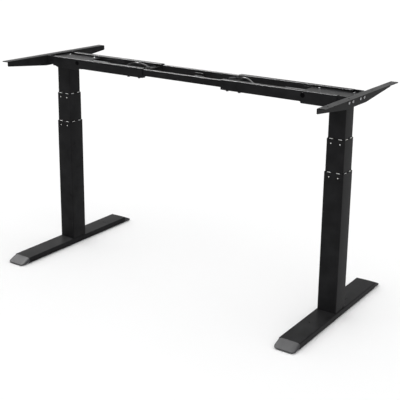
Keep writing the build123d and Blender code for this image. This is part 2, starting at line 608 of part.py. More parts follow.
def rail_plugs():
    """Round snap-in caps that close the access hole in each rail's outer face."""
    at = (PLUG_X, FRAME_TOP - PLUG_DROP)
    cap = rod("y", at, PLUG_RADIUS, (-BEAM_FACE - PLUG_HEAD, -BEAM_FACE))
    cap = fillet(cap.edges().group_by(Axis.Y)[0], 0.7 * PLUG_HEAD)
    body_end = -BEAM_FACE + RAIL_WALL + SEAT_GAP
    body = rod("y", at, PLUG_BODY_RADIUS, (-BEAM_FACE - 1, body_end))
    body -= rod("y", at, PLUG_BODY_RADIUS - PLUG_WALL, (-BEAM_FACE + SEAT_GAP, body_end + 1))
    return both_y(cap + body)


def rail_tie():
    """A folded plate across the inner ends of one end's rails, with a tab down each rail."""
    x_span = (TIE_START, TIE_START + TIE_WIDTH)
    tie = block(x_span, (-BEAM_INSIDE, BEAM_INSIDE), (TIE_TOP - TIE_THICKNESS, TIE_TOP))
    for side in (-1, 1):
        tab = sorted((side * (BEAM_INSIDE - TIE_THICKNESS), side * BEAM_INSIDE))
        tie += block(x_span, tab, (TIE_TOP - TIE_TAB, TIE_TOP))
    return tie


def centre_rail(side):
    """One of the two tubes that slide inside the outer rails."""
    height = CENTRE_RAIL_HEIGHT
    outline = RectangleRounded(CENTRE_RAIL_WIDTH, height, RAIL_CORNER)
    bore = RectangleRounded(CENTRE_RAIL_WIDTH - 2 * CENTRE_RAIL_WALL,
                            height - 2 * CENTRE_RAIL_WALL, RAIL_CORNER / 2)
    tube = extrude(Plane.YZ * (outline - bore), 2 * CENTRE_RAIL_HALF)
    middle_z = (CENTRE_RAIL_TOP + CENTRE_RAIL_BOTTOM) / 2
    return Pos(-CENTRE_RAIL_HALF, side * RAIL_MIDDLE_Y, middle_z) * tube


def centre_tie():
    """A channel between the two centre rails, with a tab up each rail."""
    x_span = (-CENTRE_TIE_WIDTH / 2, CENTRE_TIE_WIDTH / 2)
    low = CENTRE_RAIL_BOTTOM + RAIL_CORNER
    tie = block(x_span, (-CENTRE_RAIL_INSIDE, CENTRE_RAIL_INSIDE), (low, low + TIE_THICKNESS))
    for side in (-1, 1):
        tab = sorted((side * (CENTRE_RAIL_INSIDE - TIE_THICKNESS), side * CENTRE_RAIL_INSIDE))
        tie += block(x_span, tab, (low, low + CENTRE_TIE_TAB))
    return tie


# ---------------------------------------------------------------- wing
def wing():
    """A folded L: flat flange under the tabletop, and a web that tapers towards both ends."""
    half = WING_LENGTH / 2
    flat = WING_FLAT / 2
    web_line = Polyline((-half, FRAME_TOP), (-half, FRAME_TOP - WING_TIP_DEPTH),
                        (-flat, FRAME_TOP - WING_DEPTH), (flat, FRAME_TOP - WING_DEPTH),
                        (half, FRAME_TOP - WING_TIP_DEPTH), (half, FRAME_TOP), close=True)
    web = Pos(WING_INNER, 0, 0) * extrude(Plane.YZ * make_face(web_line), WING_SHEET)
    tips = web.edges().filter_by(Axis.X).group_by(Axis.Z)[1]
    web = fillet(tips, WING_TIP_CORNER)
    flange = block((WING_INNER, WING_OUTER), (-half, half), (FRAME_TOP - WING_SHEET, FRAME_TOP))
    sheet = web + flange
    bend = [edge for edge in sheet.edges().filter_by(Axis.Y)
            if abs(edge.center().X - WING_INNER) < 0.01 and abs(edge.center().Z - FRAME_TOP) < 0.01]
    sheet = fillet(bend, WING_BEND)
    for y in WING_HOLE_YS:
        for side in (-1, 1):
            sheet -= rod("z", (wing_hole_x(), side * y), WING_HOLE_RADIUS,
                         (FRAME_TOP - WING_SHEET - 1, FRAME_TOP + 1))
    for y in WING_SCREW_YS:
        for side in (-1, 1):
            sheet -= rod("x", (side * y, FRAME_TOP - WING_SCREW_DROP), WING_SCREW_RADIUS + HOLE_GAP,
                         (WING_INNER - 1, WING_INNER + WING_SHEET + 1))
    return sheet


def wing_hole_x():
    return WING_INNER + WING_SHEET + (WING_FLANGE - WING_SHEET) / 2


def wing_brackets():
    """Two steel angles: one leg inside the rail's end, the other against the wing's web. The
    part that shows between rail and wing is taller, level with the frame's top."""
    outer_y = BEAM_FACE - RAIL_WALL
    low = RAIL_BOTTOM + RAIL_WALL + SEAT_GAP
    start = WING_INNER - BRACKET_REACH
    shown = RAIL_OUTER_END + SEAT_GAP
    leg_y = (-outer_y, -outer_y + WING_SHEET)
    back = WING_INNER - WING_SHEET
    angle = block((start, WING_INNER), leg_y, (low, low + BRACKET_HEIGHT))
    angle += block((shown, WING_INNER), leg_y, (low, FRAME_TOP - SEAT_GAP))
    angle += block((back, WING_INNER), (-outer_y, -outer_y + BRACKET_LEG), (low, FRAME_TOP - SEAT_GAP))
    bend = angle.edges().filter_by(Axis.Z).sort_by(lambda edge: edge.center().X - edge.center().Y)[-1]
    angle = fillet(bend, WING_BEND)
    hole_at = (RAIL_OUTER_END + BRACKET_HOLE_PAST_RAIL, low + BRACKET_HEIGHT / 2)
    angle -= rod("y", hole_at, BRACKET_HOLE_RADIUS, (-outer_y - 1, -outer_y + WING_SHEET + 1))
    for y in WING_SCREW_YS:
        angle -= rod("x", (-y, FRAME_TOP - WING_SCREW_DROP), WING_SCREW_RADIUS + HOLE_GAP,
                     (back - 1, WING_INNER + 1))
    return both_y(angle)


def wing_screws():
    """Pan head screws through the web and the brackets, each with a hexagon nut behind."""
    pieces = []
    z = FRAME_TOP - WING_SCREW_DROP
    face = WING_INNER + WING_SHEET
    back = WING_INNER - WING_SHEET
    reach = WING_SCREW_HEAD_RADIUS / 2
    slot = reach / 5
    for y in WING_SCREW_YS:
        head_end = face + WING_SCREW_HEAD
        cut = (head_end - WING_SCREW_HEAD / 2, head_end + 1)
        head = rod("x", (-y, z), WING_SCREW_HEAD_RADIUS, (face, head_end))
        head = fillet(head.edges().group_by(Axis.X)[-1], 0.7 * WING_SCREW_HEAD)
        head -= block(cut, (-y - reach, -y + reach), (z - slot, z + slot))
        head -= block(cut, (-y - slot, -y + slot), (z - reach, z + reach))
        shank = rod("x", (-y, z), WING_SCREW_RADIUS, (back - WING_NUT - 1.5, face + 1))
        nut = hex_prism((-y, z), WING_NUT_FLATS, (back - WING_NUT, back))
        nut -= rod("x", (-y, z), WING_SCREW_RADIUS + RUNNING_FIT, (back - WING_NUT - 1, back + 1))
        pieces += both_y(head + shank) + both_y(nut)
    return pieces


# ---------------------------------------------------------------- motor leads
LEAD_ROUTES = {             # x from the frame's middle, y, and z from the frame's top
    "right": [(350, -18, -22), (324, -36, -18), (298, -30, -13), (270, -8, -9), (244, 16, -6),
              (218, 32, -5), (197, 25, -5), (188, 7, -5)],
    "left": [(-350, -16, -23), (-326, -30, -19), (-306, -22, -14), (-300, -4, -10),
             (-306, 16, -8), (-302, 34, -7), (-286, 42, -6), (-264, 36, -5), (-236, 21, -5),
             (-213, 7, -5), (-197, -9, -5)],
}
LEAD_EXIT = (-6, 1.5)       # y, and height above the motor's axis
LEAD_STRAIGHT = 18.0        # length that leaves the motor along its axis
RAIL_CLIP_RUNS = {"right": 3, "left": 8}    # the run that each lead's rail clip holds


def lead_points(side):
    """The whole route of one lead: straight out of the motor's end cap, then along its points."""
    along = 1 if side == "right" else -1
    exit_y, rise = LEAD_EXIT
    exit_z = MOTOR_AXIS_Z + rise
    first = [(along * x, exit_y, exit_z) for x in (MOTOR_INNER_END, MOTOR_INNER_END - LEAD_STRAIGHT)]
    return first + [(x, y, FRAME_TOP + drop) for x, y, drop in LEAD_ROUTES[side]]


def bend_radii(points):
    """Each corner's radius: 0.45 of its shorter run, divided by the tangent of half the turn."""
    corners = [Vector(*point) for point in points]
    radii = []
    for before, here, after in zip(corners, corners[1:], corners[2:]):
        first = here - before
        second = after - here
        turn = math.radians(first.get_angle(second))
        radii.append(0.45 * min(first.length, second.length) / math.tan(turn / 2))
    return radii


def motor_lead(points):
    """A round two-core lead from the motor's end cap to its plug."""
    route = FilletPolyline(*points, radius=bend_radii(points))
    section = Plane(origin=route @ 0, z_dir=route % 0) * Circle(LEAD_RADIUS)
    return sweep(section, path=route)


def clip(points, run, support):
    """A block with a hole for the lead, at the middle of one run, and a foot on its support.
    The support is the tie's top face or the inner face of the nearer rail."""
    start, end = Vector(*points[run]), Vector(*points[run + 1])
    middle = (start + end) * 0.5
    along = (end - start).normalized()
    frame = Plane(origin=middle - along * (CLIP_LENGTH / 2), x_dir=Vector(-along.Y, along.X, 0),
                  z_dir=along)
    outside = LEAD_RADIUS + CLIP_CLEARANCE + CLIP_WALL
    body = extrude(frame * Circle(outside), CLIP_LENGTH)
    x_span = (middle.X - CLIP_LENGTH / 2, middle.X + CLIP_LENGTH / 2)
    if support == "tie":
        y_span = (middle.Y - CLIP_LENGTH / 2, middle.Y + CLIP_LENGTH / 2)
        foot_pad = block(x_span, y_span, (TIE_TOP, middle.Z))
        body -= Pos(middle.X, middle.Y, TIE_TOP - outside) * Box(4 * outside, 4 * outside, 2 * outside)
    else:
        side = math.copysign(1, middle.Y)
        y_span = sorted((middle.Y, side * BEAM_INSIDE))
        foot_pad = block(x_span, y_span, (middle.Z - CLIP_WALL, middle.Z + CLIP_WALL))
    hole = extrude(frame.offset(-CLIP_LENGTH) * Circle(LEAD_RADIUS + CLIP_CLEARANCE), 3 * CLIP_LENGTH)
    return body + foot_pad - hole


def gland(points):
    """A tapered sleeve round the lead where it leaves the motor."""
    start = Vector(*points[0])
    along = (Vector(*points[1]) - start).normalized()
    sleeve = Pos(0, 0, GLAND_LENGTH / 2) * Cone(LEAD_RADIUS + 2.5, LEAD_RADIUS + 1.2, GLAND_LENGTH)
    sleeve -= Cylinder(LEAD_RADIUS + LEAD_CLEARANCE, 4 * GLAND_LENGTH)
    return Plane(origin=start, z_dir=along) * sleeve


def lead_fittings(side):
    """The gland at the motor, a clip on a rail, a clip on the tie and the plug at the end."""
    points = lead_points(side)
    tail = Vector(*points[-1])
    ahead = (tail - Vector(*points[-2])).normalized()
    face = Plane(origin=tail, x_dir=Vector(-ahead.Y, ahead.X, 0), z_dir=ahead)
    shell = extrude(face * RectangleRounded(13, 6.8, 1), LEAD_PLUG_LENGTH)
    nose = extrude(face.offset(LEAD_PLUG_LENGTH) * RectangleRounded(9, 5, 0.8), 4)
    rail_clip = clip(points, RAIL_CLIP_RUNS[side], "rail")
    tie_clip = clip(points, len(points) - 2, "tie")
    return [gland(points), rail_clip, tie_clip, shell + nose]


def turned(pieces):
    """The left end: every solid turned half a turn about Z."""
    return [Rot(0, 0, 180) * piece for piece in pieces]


def as_list(made):
    return list(made) if isinstance(made, (list, tuple)) else [made]


END_PIECES = {
    "foot": foot,
    "foot_caps": foot_caps,
    "foot_bolts": foot_bolts,
    "outer_tube": outer_tube,
    "lower_glides": lower_glides,
    "push_tube": push_tube,
    "middle_tube": middle_tube,
    "upper_glides": upper_glides,
    "middle_sleeve": middle_sleeve,
    "lift_screw": lift_screw,
    "inner_tube": inner_tube,
    "spindle": spindle,
    "head_tray": head_tray,
    "head_cover": head_cover,
    "gearbox": gearbox,
    "motor": motor,
    "head_screws": head_screws,
    "outer_rails": outer_rails,
    "rail_bushes": rail_bushes,
    "rail_plugs": rail_plugs,
    "rail_tie": rail_tie,
    "wing": wing,
    "wing_brackets": wing_brackets,
    "wing_screws": wing_screws,
    "levelling_foot_a": lambda: levelling_foot(-LEVEL_Y),
    "levelling_foot_b": lambda: levelling_foot(LEVEL_Y),
}


def build():
    """Every node's solids, by node name."""
    nodes = {
        "centre_rail_front": [centre_rail(-1)],
        "centre_rail_rear": [centre_rail(1)],
        "centre_tie": [centre_tie()],
    }
    for name, make in END_PIECES.items():
        pieces = as_list(make())
        nodes[name + "_right"] = pieces
        nodes[name + "_left"] = turned(pieces)
    for side in LEAD_ROUTES:
        nodes["motor_lead_" + side] = [motor_lead(lead_points(side))]
        nodes["lead_fittings_" + side] = lead_fittings(side)
    return nodes


if __name__ == "__main__":
    os.makedirs("parts", exist_ok=True)
    for side in LEAD_ROUTES:
        print(side, "lead bend radii", [round(radius, 1) for radius in bend_radii(lead_points(side))])
    for name, pieces in build().items():
        shape = pieces[0] if len(pieces) == 1 else Compound(children=[Part() + p for p in pieces])
        export_step(shape, f"parts/{name}.step")
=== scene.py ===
"""Looks of the height adjustable desk frame, laid out as a Blender add-on and run as a script.

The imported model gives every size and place. Sheet metal keeps its drawn shape and gets rolled
edges. Caps, plugs, screws, motors, leads, pads and threads are surfaces worked out with numpy.
"""

import json
import math

import bmesh
import bpy
import numpy as np
from bpy.props import FloatProperty, FloatVectorProperty, PointerProperty
from mathutils import Matrix, Vector

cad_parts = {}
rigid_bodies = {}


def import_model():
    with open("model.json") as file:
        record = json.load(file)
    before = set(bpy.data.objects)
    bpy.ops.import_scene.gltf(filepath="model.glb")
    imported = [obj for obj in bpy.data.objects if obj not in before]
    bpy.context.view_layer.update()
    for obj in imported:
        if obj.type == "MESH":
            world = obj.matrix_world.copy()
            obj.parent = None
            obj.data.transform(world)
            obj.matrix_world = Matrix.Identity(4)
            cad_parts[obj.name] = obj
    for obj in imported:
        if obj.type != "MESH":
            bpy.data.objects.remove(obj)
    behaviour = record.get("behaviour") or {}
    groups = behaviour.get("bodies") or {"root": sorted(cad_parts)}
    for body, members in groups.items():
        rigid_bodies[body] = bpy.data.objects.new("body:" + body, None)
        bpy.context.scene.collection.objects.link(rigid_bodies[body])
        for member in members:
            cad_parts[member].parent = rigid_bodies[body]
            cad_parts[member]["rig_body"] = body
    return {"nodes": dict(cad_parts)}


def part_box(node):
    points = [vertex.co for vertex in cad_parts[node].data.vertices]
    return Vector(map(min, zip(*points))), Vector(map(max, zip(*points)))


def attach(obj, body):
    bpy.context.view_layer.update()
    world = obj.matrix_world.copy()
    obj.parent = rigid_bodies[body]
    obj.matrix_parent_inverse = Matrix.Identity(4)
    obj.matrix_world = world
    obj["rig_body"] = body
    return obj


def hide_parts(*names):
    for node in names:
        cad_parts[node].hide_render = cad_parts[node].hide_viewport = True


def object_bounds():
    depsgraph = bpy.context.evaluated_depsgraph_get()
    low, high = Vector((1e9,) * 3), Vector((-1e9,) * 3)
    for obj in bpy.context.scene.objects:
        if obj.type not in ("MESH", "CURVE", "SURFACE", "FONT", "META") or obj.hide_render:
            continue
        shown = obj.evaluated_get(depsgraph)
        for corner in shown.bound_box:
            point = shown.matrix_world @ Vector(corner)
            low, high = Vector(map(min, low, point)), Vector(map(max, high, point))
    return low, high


bl_info = {
    "name": "Desk frame looks",
    "version": (1, 0, 0),
    "blender": (4, 5, 0),
    "location": "3D View > Sidebar > Desk frame",
    "description": "Finishes the height adjustable desk frame around its packed model",
    "category": "Object",
}

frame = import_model()
CAD_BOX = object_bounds()
SIDES = ("left", "right")
MM = 0.001
TAU = 2 * math.pi
UP = (0, 0, 1)
DOWN = (0, 0, -1)
MERGE_WITHIN = 0.002 * MM
DROP_EDGES_UNDER = 0.001 * MM
M6_RADIUS = 3 * MM
M6_ACROSS_FLATS = 10 * MM
M8_RADIUS = 4 * MM
M8_PITCH = 1.25 * MM
WING_WEB = 3 * MM


# ---------------------------------------------------------------- settings
class DeskSizes(bpy.types.PropertyGroup):
    """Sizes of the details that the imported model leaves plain."""
    steel_edge: FloatProperty(
        name="Steel edge", description="Radius of the rolled edge on tubes and folded sheet",
        default=0.9 * MM, unit="LENGTH")
    nylon_edge: FloatProperty(
        name="Nylon edge", description="Radius of the edges of the glides and bushes",
        default=0.25 * MM, unit="LENGTH")
    cap_crown: FloatProperty(
        name="Cap crown", description="How far a foot cap's slope bulges at its middle",
        default=0.8 * MM, unit="LENGTH")
    screw_pitch: FloatProperty(
        name="Screw pitch", description="Thread pitch of the wing and rail screws",
        default=1.0 * MM, unit="LENGTH")
    lift_pitch: FloatProperty(
        name="Lift pitch", description="Thread pitch of the lift screws and spindles",
        default=6.0 * MM, unit="LENGTH")
    lead_diameter: FloatProperty(
        name="Lead diameter", description="Outside diameter of the motor leads",
        default=6.0 * MM, unit="LENGTH")


class DeskColours(bpy.types.PropertyGroup):
    """Base colours of the finishes."""
    coat: FloatVectorProperty(
        name="Powder coat", description="Colour of the coated steel", subtype="COLOR",
        size=3, default=(0.0115, 0.0115, 0.0121), min=0, max=1)
    cap: FloatVectorProperty(
        name="Cap plastic", description="Colour of the foot caps", subtype="COLOR",
        size=3, default=(0.058, 0.058, 0.060), min=0, max=1)
    nylon: FloatVectorProperty(
        name="Nylon", description="Colour of the glides and bushes", subtype="COLOR",
        size=3, default=(0.74, 0.74, 0.72), min=0, max=1)
    zinc: FloatVectorProperty(
        name="Zinc plate", description="Colour of the bright screws", subtype="COLOR",
        size=3, default=(0.36, 0.36, 0.37), min=0, max=1)
    steel: FloatVectorProperty(
        name="Oiled steel", description="Colour of the lifting screws and tubes", subtype="COLOR",
        size=3, default=(0.46, 0.46, 0.47), min=0, max=1)
    alloy: FloatVectorProperty(
        name="Cast alloy", description="Colour of the gearboxes", subtype="COLOR",
        size=3, default=(0.34, 0.34, 0.35), min=0, max=1)


class DeskStage(bpy.types.PropertyGroup):
    """Camera, floor and lights."""
    eye: FloatVectorProperty(
        name="Camera place", description="Where the camera stands", subtype="TRANSLATION",
        size=3, default=(1.8416, -2.5825, 1.3738), unit="LENGTH")
    turn: FloatProperty(
        name="Camera turn", description="Turn to the left of straight along +Y",
        default=math.radians(33.594), subtype="ANGLE")
    tilt: FloatProperty(
        name="Camera tilt", description="Tilt above the horizon, so a look down is negative",
        default=math.radians(-15.295), subtype="ANGLE")
    roll: FloatProperty(
        name="Camera roll", description="Turn about the line of sight",
        default=math.radians(0.934), subtype="ANGLE")
    lens: FloatProperty(
        name="Lens", description="Focal length on a 36 mm wide sensor, in millimetres",
        default=77.95, min=10)
    shift_x: FloatProperty(
        name="Shift right", description="Sideways shift of the view, as a share of its width",
        default=-0.0460)
    shift_y: FloatProperty(
        name="Shift up", description="Upward shift of the view, as a share of its width",
        default=-0.1251)
    floor: FloatVectorProperty(
        name="Floor", description="Colour of the floor", subtype="COLOR",
        size=3, default=(0.93, 0.93, 0.93), min=0, max=1)
    surround: FloatProperty(
        name="Surround", description="Brightness of the room around the desk",
        default=0.90, min=0)
    ceiling: FloatProperty(
        name="Ceiling light", description="Strength of the wide even light from above",
        default=0.7, min=0)
    ceiling_spread: FloatProperty(
        name="Ceiling spread", description="Angle that the light from above seems to fill",
        default=math.radians(80), subtype="ANGLE")
    glint: FloatProperty(
        name="Glint", description="Strength of the narrow light that only edges reflect",
        default=90.0, min=0)
    glint_spread: FloatProperty(
        name="Glint spread", description="Angle that the narrow light seems to fill",
        default=math.radians(16), subtype="ANGLE")
    glint_from: FloatVectorProperty(
        name="Glint from", description="Direction to the light that the rails' top edges reflect",
        subtype="DIRECTION", size=3, default=(-0.55, 0.0, 0.83))


def colours():
    return bpy.context.scene.desk_colours


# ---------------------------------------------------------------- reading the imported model
def mesh_arrays(node):
    """A CAD node's points, welded where they share a place, and its triangles."""
    mesh = frame["nodes"][node].data
    mesh.calc_loop_triangles()
    points = np.empty(len(mesh.vertices) * 3, np.float32)
    mesh.vertices.foreach_get("co", points)
    triangles = np.empty(len(mesh.loop_triangles) * 3, np.int32)
    mesh.loop_triangles.foreach_get("vertices", triangles)
    places, welded = np.unique(points.reshape(-1, 3), axis=0, return_inverse=True)
    return places.astype(float), welded.reshape(-1)[triangles].reshape(-1, 3)


def solids_of(node):
    """Lowest and highest corner of each separate solid in a CAD node. Every point starts with
    its own number, and each triangle spreads its lowest number until nothing changes."""
    points, triangles = mesh_arrays(node)
    number = np.arange(len(points))
    while True:
        spread = number.copy()
        np.minimum.at(spread, triangles.ravel(), np.repeat(number[triangles].min(axis=1), 3))
        spread = spread[spread]
        if np.array_equal(spread, number):
            break
        number = spread
    groups = [points[number == value] for value in np.unique(number)]
    return [(group.min(axis=0), group.max(axis=0)) for group in groups]


def box(node):
    low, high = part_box(node)
    return np.array(low), np.array(high)


# ---------------------------------------------------------------- surfaces from arrays
def grid_quads(rows, columns, wrap_rows=False, wrap_columns=True):
    """Corners of every quad in a grid of points, row by row."""
    row = np.arange(rows if wrap_rows else rows - 1)
    column = np.arange(columns if wrap_columns else columns - 1)
    row, column = np.meshgrid(row, column, indexing="ij")
    next_row = (row + 1) % rows
    next_column = (column + 1) % columns
    corners = [row * columns + column, row * columns + next_column,
               next_row * columns + next_column, next_row * columns + column]
    return np.stack(corners, axis=-1).reshape(-1, 4)


def surface(points, **wrap):
    """A grid of points, rows by columns by 3, as one surface."""
    rows, columns = points.shape[:2]
    return points.reshape(-1, 3), grid_quads(rows, columns, **wrap)


def axis_frame(axis):
    """Three unit rows: two across the axis, then the axis itself, right handed."""
    along = np.array(axis, float)
    along /= np.linalg.norm(along)
    helper = np.array((0.0, 0.0, 1.0)) if abs(along[2]) < 0.9 else np.array((1.0, 0.0, 0.0))
    across = np.cross(helper, along)
    across /= np.linalg.norm(across)
    return np.stack([across, np.cross(along, across), along])


def turned(profile, origin, axis, segments=48, relief=None):
    """A turned form: each profile point (radius, height) goes once round the axis.
    relief(radius, height, angle) may change radius and height all over the grid."""
    profile = np.asarray(profile, float)
    angle = np.linspace(0, TAU, segments, endpoint=False)
    radius, turn = np.broadcast_arrays(profile[:, :1], angle[None])
    height = np.broadcast_to(profile[:, 1:], radius.shape)
    if relief:
        radius, height = relief(radius, height, turn)
    local = np.stack([radius * np.cos(turn), radius * np.sin(turn), height], axis=-1)
    return surface(local @ axis_frame(axis) + np.array(origin, float))


def eased(corners, radii, steps=5):
    """An outline with each inner corner rounded by an arc: a quadratic curve that leaves the
    corner's two edges at the radius from it. The first and last points stay."""
    corners = np.asarray(corners, float)
    share = np.linspace(0, 1, steps)[:, None]
    pieces = [corners[:1]]
    for before, here, after, radius in zip(corners, corners[1:], corners[2:], radii):
        back, ahead = before - here, after - here
        start = here + back * min(0.5, radius / np.linalg.norm(back))
        end = here + ahead * min(0.5, radius / np.linalg.norm(ahead))
        pieces.append((1 - share) ** 2 * start + 2 * share * (1 - share) * here + share ** 2 * end)
    pieces.append(corners[-1:])
    return np.concatenate(pieces)


def densed(profile, longest):
    """The profile with points added so that no step between two is over the given length."""
    step = np.linalg.norm(np.diff(profile, axis=0), axis=1)
    count = np.maximum(1, np.ceil(step / longest)).astype(int)
    first = np.repeat(np.arange(len(step)), count)
    place = np.concatenate([np.arange(n) / n for n in count])[:, None]
    return np.concatenate([profile[first] * (1 - place) + profile[first + 1] * place, profile[-1:]])


def smooth_step(value):
    """0 below 0, 1 above 1, and the S curve 3t^2 - 2t^3 between."""
    t = np.clip(value, 0, 1)
    return t * t * (3 - 2 * t)


def polygon_radius(angle, across_flats, sides=6):
    """Distance from the axis to a regular polygon's edge at each angle."""
    sector = TAU / sides
    return across_flats / 2 / np.cos((angle + sector / 2) % sector - sector / 2)


def thread_depth(height, angle, pitch, depth, low, high):
    """How deep a thread is cut at each point: a rounded ridge that climbs one pitch in each
    turn, fading out at both ends."""
    phase = height / pitch - angle / TAU
    ridge = 0.5 - 0.5 * np.cos(TAU * phase)
    fade = smooth_step((height - low) / pitch) * smooth_step((high - height) / pitch)
    return depth * ridge * fade


def threaded_rod(origin, axis, radius, span, pitch, depth, segments=24, per_turn=6, bore=0.0):
    """A rod from span[0] to span[1] along the axis whose radius is cut by a climbing thread.
    With a bore the same grid goes on through the inside, back to where it began."""
    low, high = span
    count = max(4, int((high - low) / pitch * per_turn))
    height = np.linspace(low, high, count)
    outside = np.column_stack([np.full(count, radius), height])
    ends = [[bore, low], [bore, high]]
    profile = np.concatenate([ends[:1], outside, ends[1:]])

    def cut(r, h, a):
        worn = thread_depth(h, a, pitch, depth, low, high)
        return np.where(r > (radius + bore) / 2, r - worn, r), h

    if bore:
        profile = np.concatenate([profile, ends[:1]])
    return turned(profile, origin, axis, segments, cut)


def swept(path, section, up=(0.0, 0.0, 1.0)):
    """A section (across, up) carried along a path that never runs along up, with flat ends."""
    path = np.asarray(path, float)
    along = np.gradient(path, axis=0)
    along /= np.linalg.norm(along, axis=1, keepdims=True)
    across = np.cross(along, np.array(up))
    across /= np.linalg.norm(across, axis=1, keepdims=True)
    rise = np.cross(across, along)
    ring = path[:, None] + section[None, :, :1] * across[:, None]
    ring = ring + section[None, :, 1:] * rise[:, None]
    ends = [np.repeat(path[end][None, None], len(section), axis=1) for end in (0, -1)]
    return surface(np.concatenate([ends[0], ring, ends[1]]))


def ring_section(width, height, corner, steps=5):
    """A rounded rectangle about the origin, as (across, up) points without a repeated end."""
    quarter = np.linspace(0, math.pi / 2, steps)
    arc = np.column_stack([np.cos(quarter), np.sin(quarter)]) * corner
    middle = np.array([width / 2 - corner, height / 2 - corner])
    first = arc + middle
    return np.concatenate([first, first[::-1] * [-1, 1], first * [-1, -1], first[::-1] * [1, -1]])


# ---------------------------------------------------------------- making pieces
def add_object(name, data):
    made = bpy.data.objects.new(name, data)
    bpy.context.scene.collection.objects.link(made)
    return made


def dress(piece, slot, node):
    """Gives a piece its finish and slot, and the body of the CAD node that it stands for."""
    piece.data.materials.clear()
    piece.data.materials.append(finish(slot))
    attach(piece, frame["nodes"][node]["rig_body"])
    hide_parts(node)
    return piece


def make_piece(name, surfaces, slot, node, crease=40):
    """One object from several closed surfaces, with doubled points merged and faces outward."""
    counts = np.cumsum([0] + [len(points) for points, _ in surfaces[:-1]])
    points = np.concatenate([points for points, _ in surfaces])
    quads = np.concatenate([quads + start for (_, quads), start in zip(surfaces, counts)])
    mesh = bpy.data.meshes.new(name)
    mesh.from_pydata(points.tolist(), [], quads.tolist())
    work = bmesh.new()
    work.from_mesh(mesh)
    bmesh.ops.remove_doubles(work, verts=work.verts, dist=MERGE_WITHIN)
    bmesh.ops.dissolve_degenerate(work, edges=work.edges, dist=DROP_EDGES_UNDER)
    bmesh.ops.recalc_face_normals(work, faces=work.faces)
    work.to_mesh(mesh)
    work.free()
    mesh.shade_smooth()
    mesh.set_sharp_from_angle(angle=math.radians(crease))
    return dress(add_object(name, mesh), slot, node)


def rolled_copy(node, edge, slot):
    """The drawn shape of a CAD node with its sharp edges rolled to a small radius."""
    mesh = frame["nodes"][node].data.copy()
    mesh.name = node + "_finished"
    work = bmesh.new()
    work.from_mesh(mesh)
    bmesh.ops.remove_doubles(work, verts=work.verts, dist=MERGE_WITHIN)
    bmesh.ops.dissolve_limit(work, angle_limit=math.radians(0.4), verts=work.verts, edges=work.edges)
    work.to_mesh(mesh)
    work.free()
    if "custom_normal" in mesh.attributes:
        mesh.attributes.remove(mesh.attributes["custom_normal"])
    mesh.shade_smooth()
    piece = add_object(mesh.name, mesh)
    rolled = piece.modifiers.new("rolled_edge", "BEVEL")
    rolled.width = edge
    rolled.segments = 2
    rolled.limit_method = "ANGLE"
    rolled.angle_limit = math.radians(40)
    rolled.harden_normals = True
    rolled.miter_outer = "MITER_ARC"
    return dress(piece, slot, node)


# ---------------------------------------------------------------- finishes
def new_finish(colour, roughness, metallic=0.0, specular=0.5):
    """A material with its even values set on the shader itself."""
    material = bpy.data.materials.new("finish")
    material.use_nodes = True
    shader = material.node_tree.nodes["Principled BSDF"]
    shader.inputs["Base Color"].default_value = (*colour, 1)
    shader.inputs["Roughness"].default_value = roughness
    shader.inputs["Metallic"].default_value = metallic
    shader.inputs["Specular IOR Level"].default_value = specular
    return material, shader


def grain(material, scale, detail=2.0, stretch=(1, 1, 1)):
    """Noise on Object coordinates with so many features to the metre."""
    nodes, links = material.node_tree.nodes, material.node_tree.links
    place = nodes.new("ShaderNodeTexCoord")
    mapping = nodes.new("ShaderNodeMapping")
    mapping.inputs["Scale"].default_value = stretch
    noise = nodes.new("ShaderNodeTexNoise")
    noise.inputs["Scale"].default_value = scale
    noise.inputs["Detail"].default_value = detail
    links.new(place.outputs["Object"], mapping.inputs["Vector"])
    links.new(mapping.outputs["Vector"], noise.inputs["Vector"])
    return noise.outputs["Fac"]


def spread_colour(material, shader, source, colour, low, high):
    """Base colour that goes from low to high times its middle value with the noise."""
    ramp = material.node_tree.nodes.new("ShaderNodeValToRGB")
    ramp.color_ramp.elements[0].position = 0.3
    ramp.color_ramp.elements[1].position = 0.7
    for element, share in zip(ramp.color_ramp.elements, (low, high)):
        element.color = (*[min(1.0, value * share) for value in colour], 1)
    material.node_tree.links.new(source, ramp.inputs["Fac"])
    material.node_tree.links.new(ramp.outputs["Color"], shader.inputs["Base Color"])


def spread_roughness(material, shader, source, low, high):
    """Roughness between two values with the noise."""
    spread = material.node_tree.nodes.new("ShaderNodeMapRange")
    spread.inputs["From Min"].default_value = 0.3
    spread.inputs["From Max"].default_value = 0.7
    spread.inputs["To Min"].default_value = low
    spread.inputs["To Max"].default_value = high
    material.node_tree.links.new(source, spread.inputs["Value"])
    material.node_tree.links.new(spread.outputs["Result"], shader.inputs["Roughness"])


def raise_grain(material, shader, sources):
    """Relief in the surface from pairs of noise and height, the coarse one first."""
    normal = None
    for source, height in sources:
        bump = material.node_tree.nodes.new("ShaderNodeBump")
        bump.inputs["Distance"].default_value = height
        material.node_tree.links.new(source, bump.inputs["Height"])
        if normal:
            material.node_tree.links.new(normal, bump.inputs["Normal"])
        normal = bump.outputs["Normal"]
    material.node_tree.links.new(normal, shader.inputs["Normal"])


def powder_coat():
    """Fine leathery grain of about a millimetre with slow changes of gloss."""
    colour = tuple(colours().coat)
    material, shader = new_finish(colour, 0.5, specular=0.03)
    slow, fine = grain(material, 22, 3), grain(material, 950, 2)
    spread_colour(material, shader, slow, colour, 0.8, 1.25)
    spread_roughness(material, shader, slow, 0.27, 0.36)
    raise_grain(material, shader, [(fine, 0.05 * MM)])
    return material


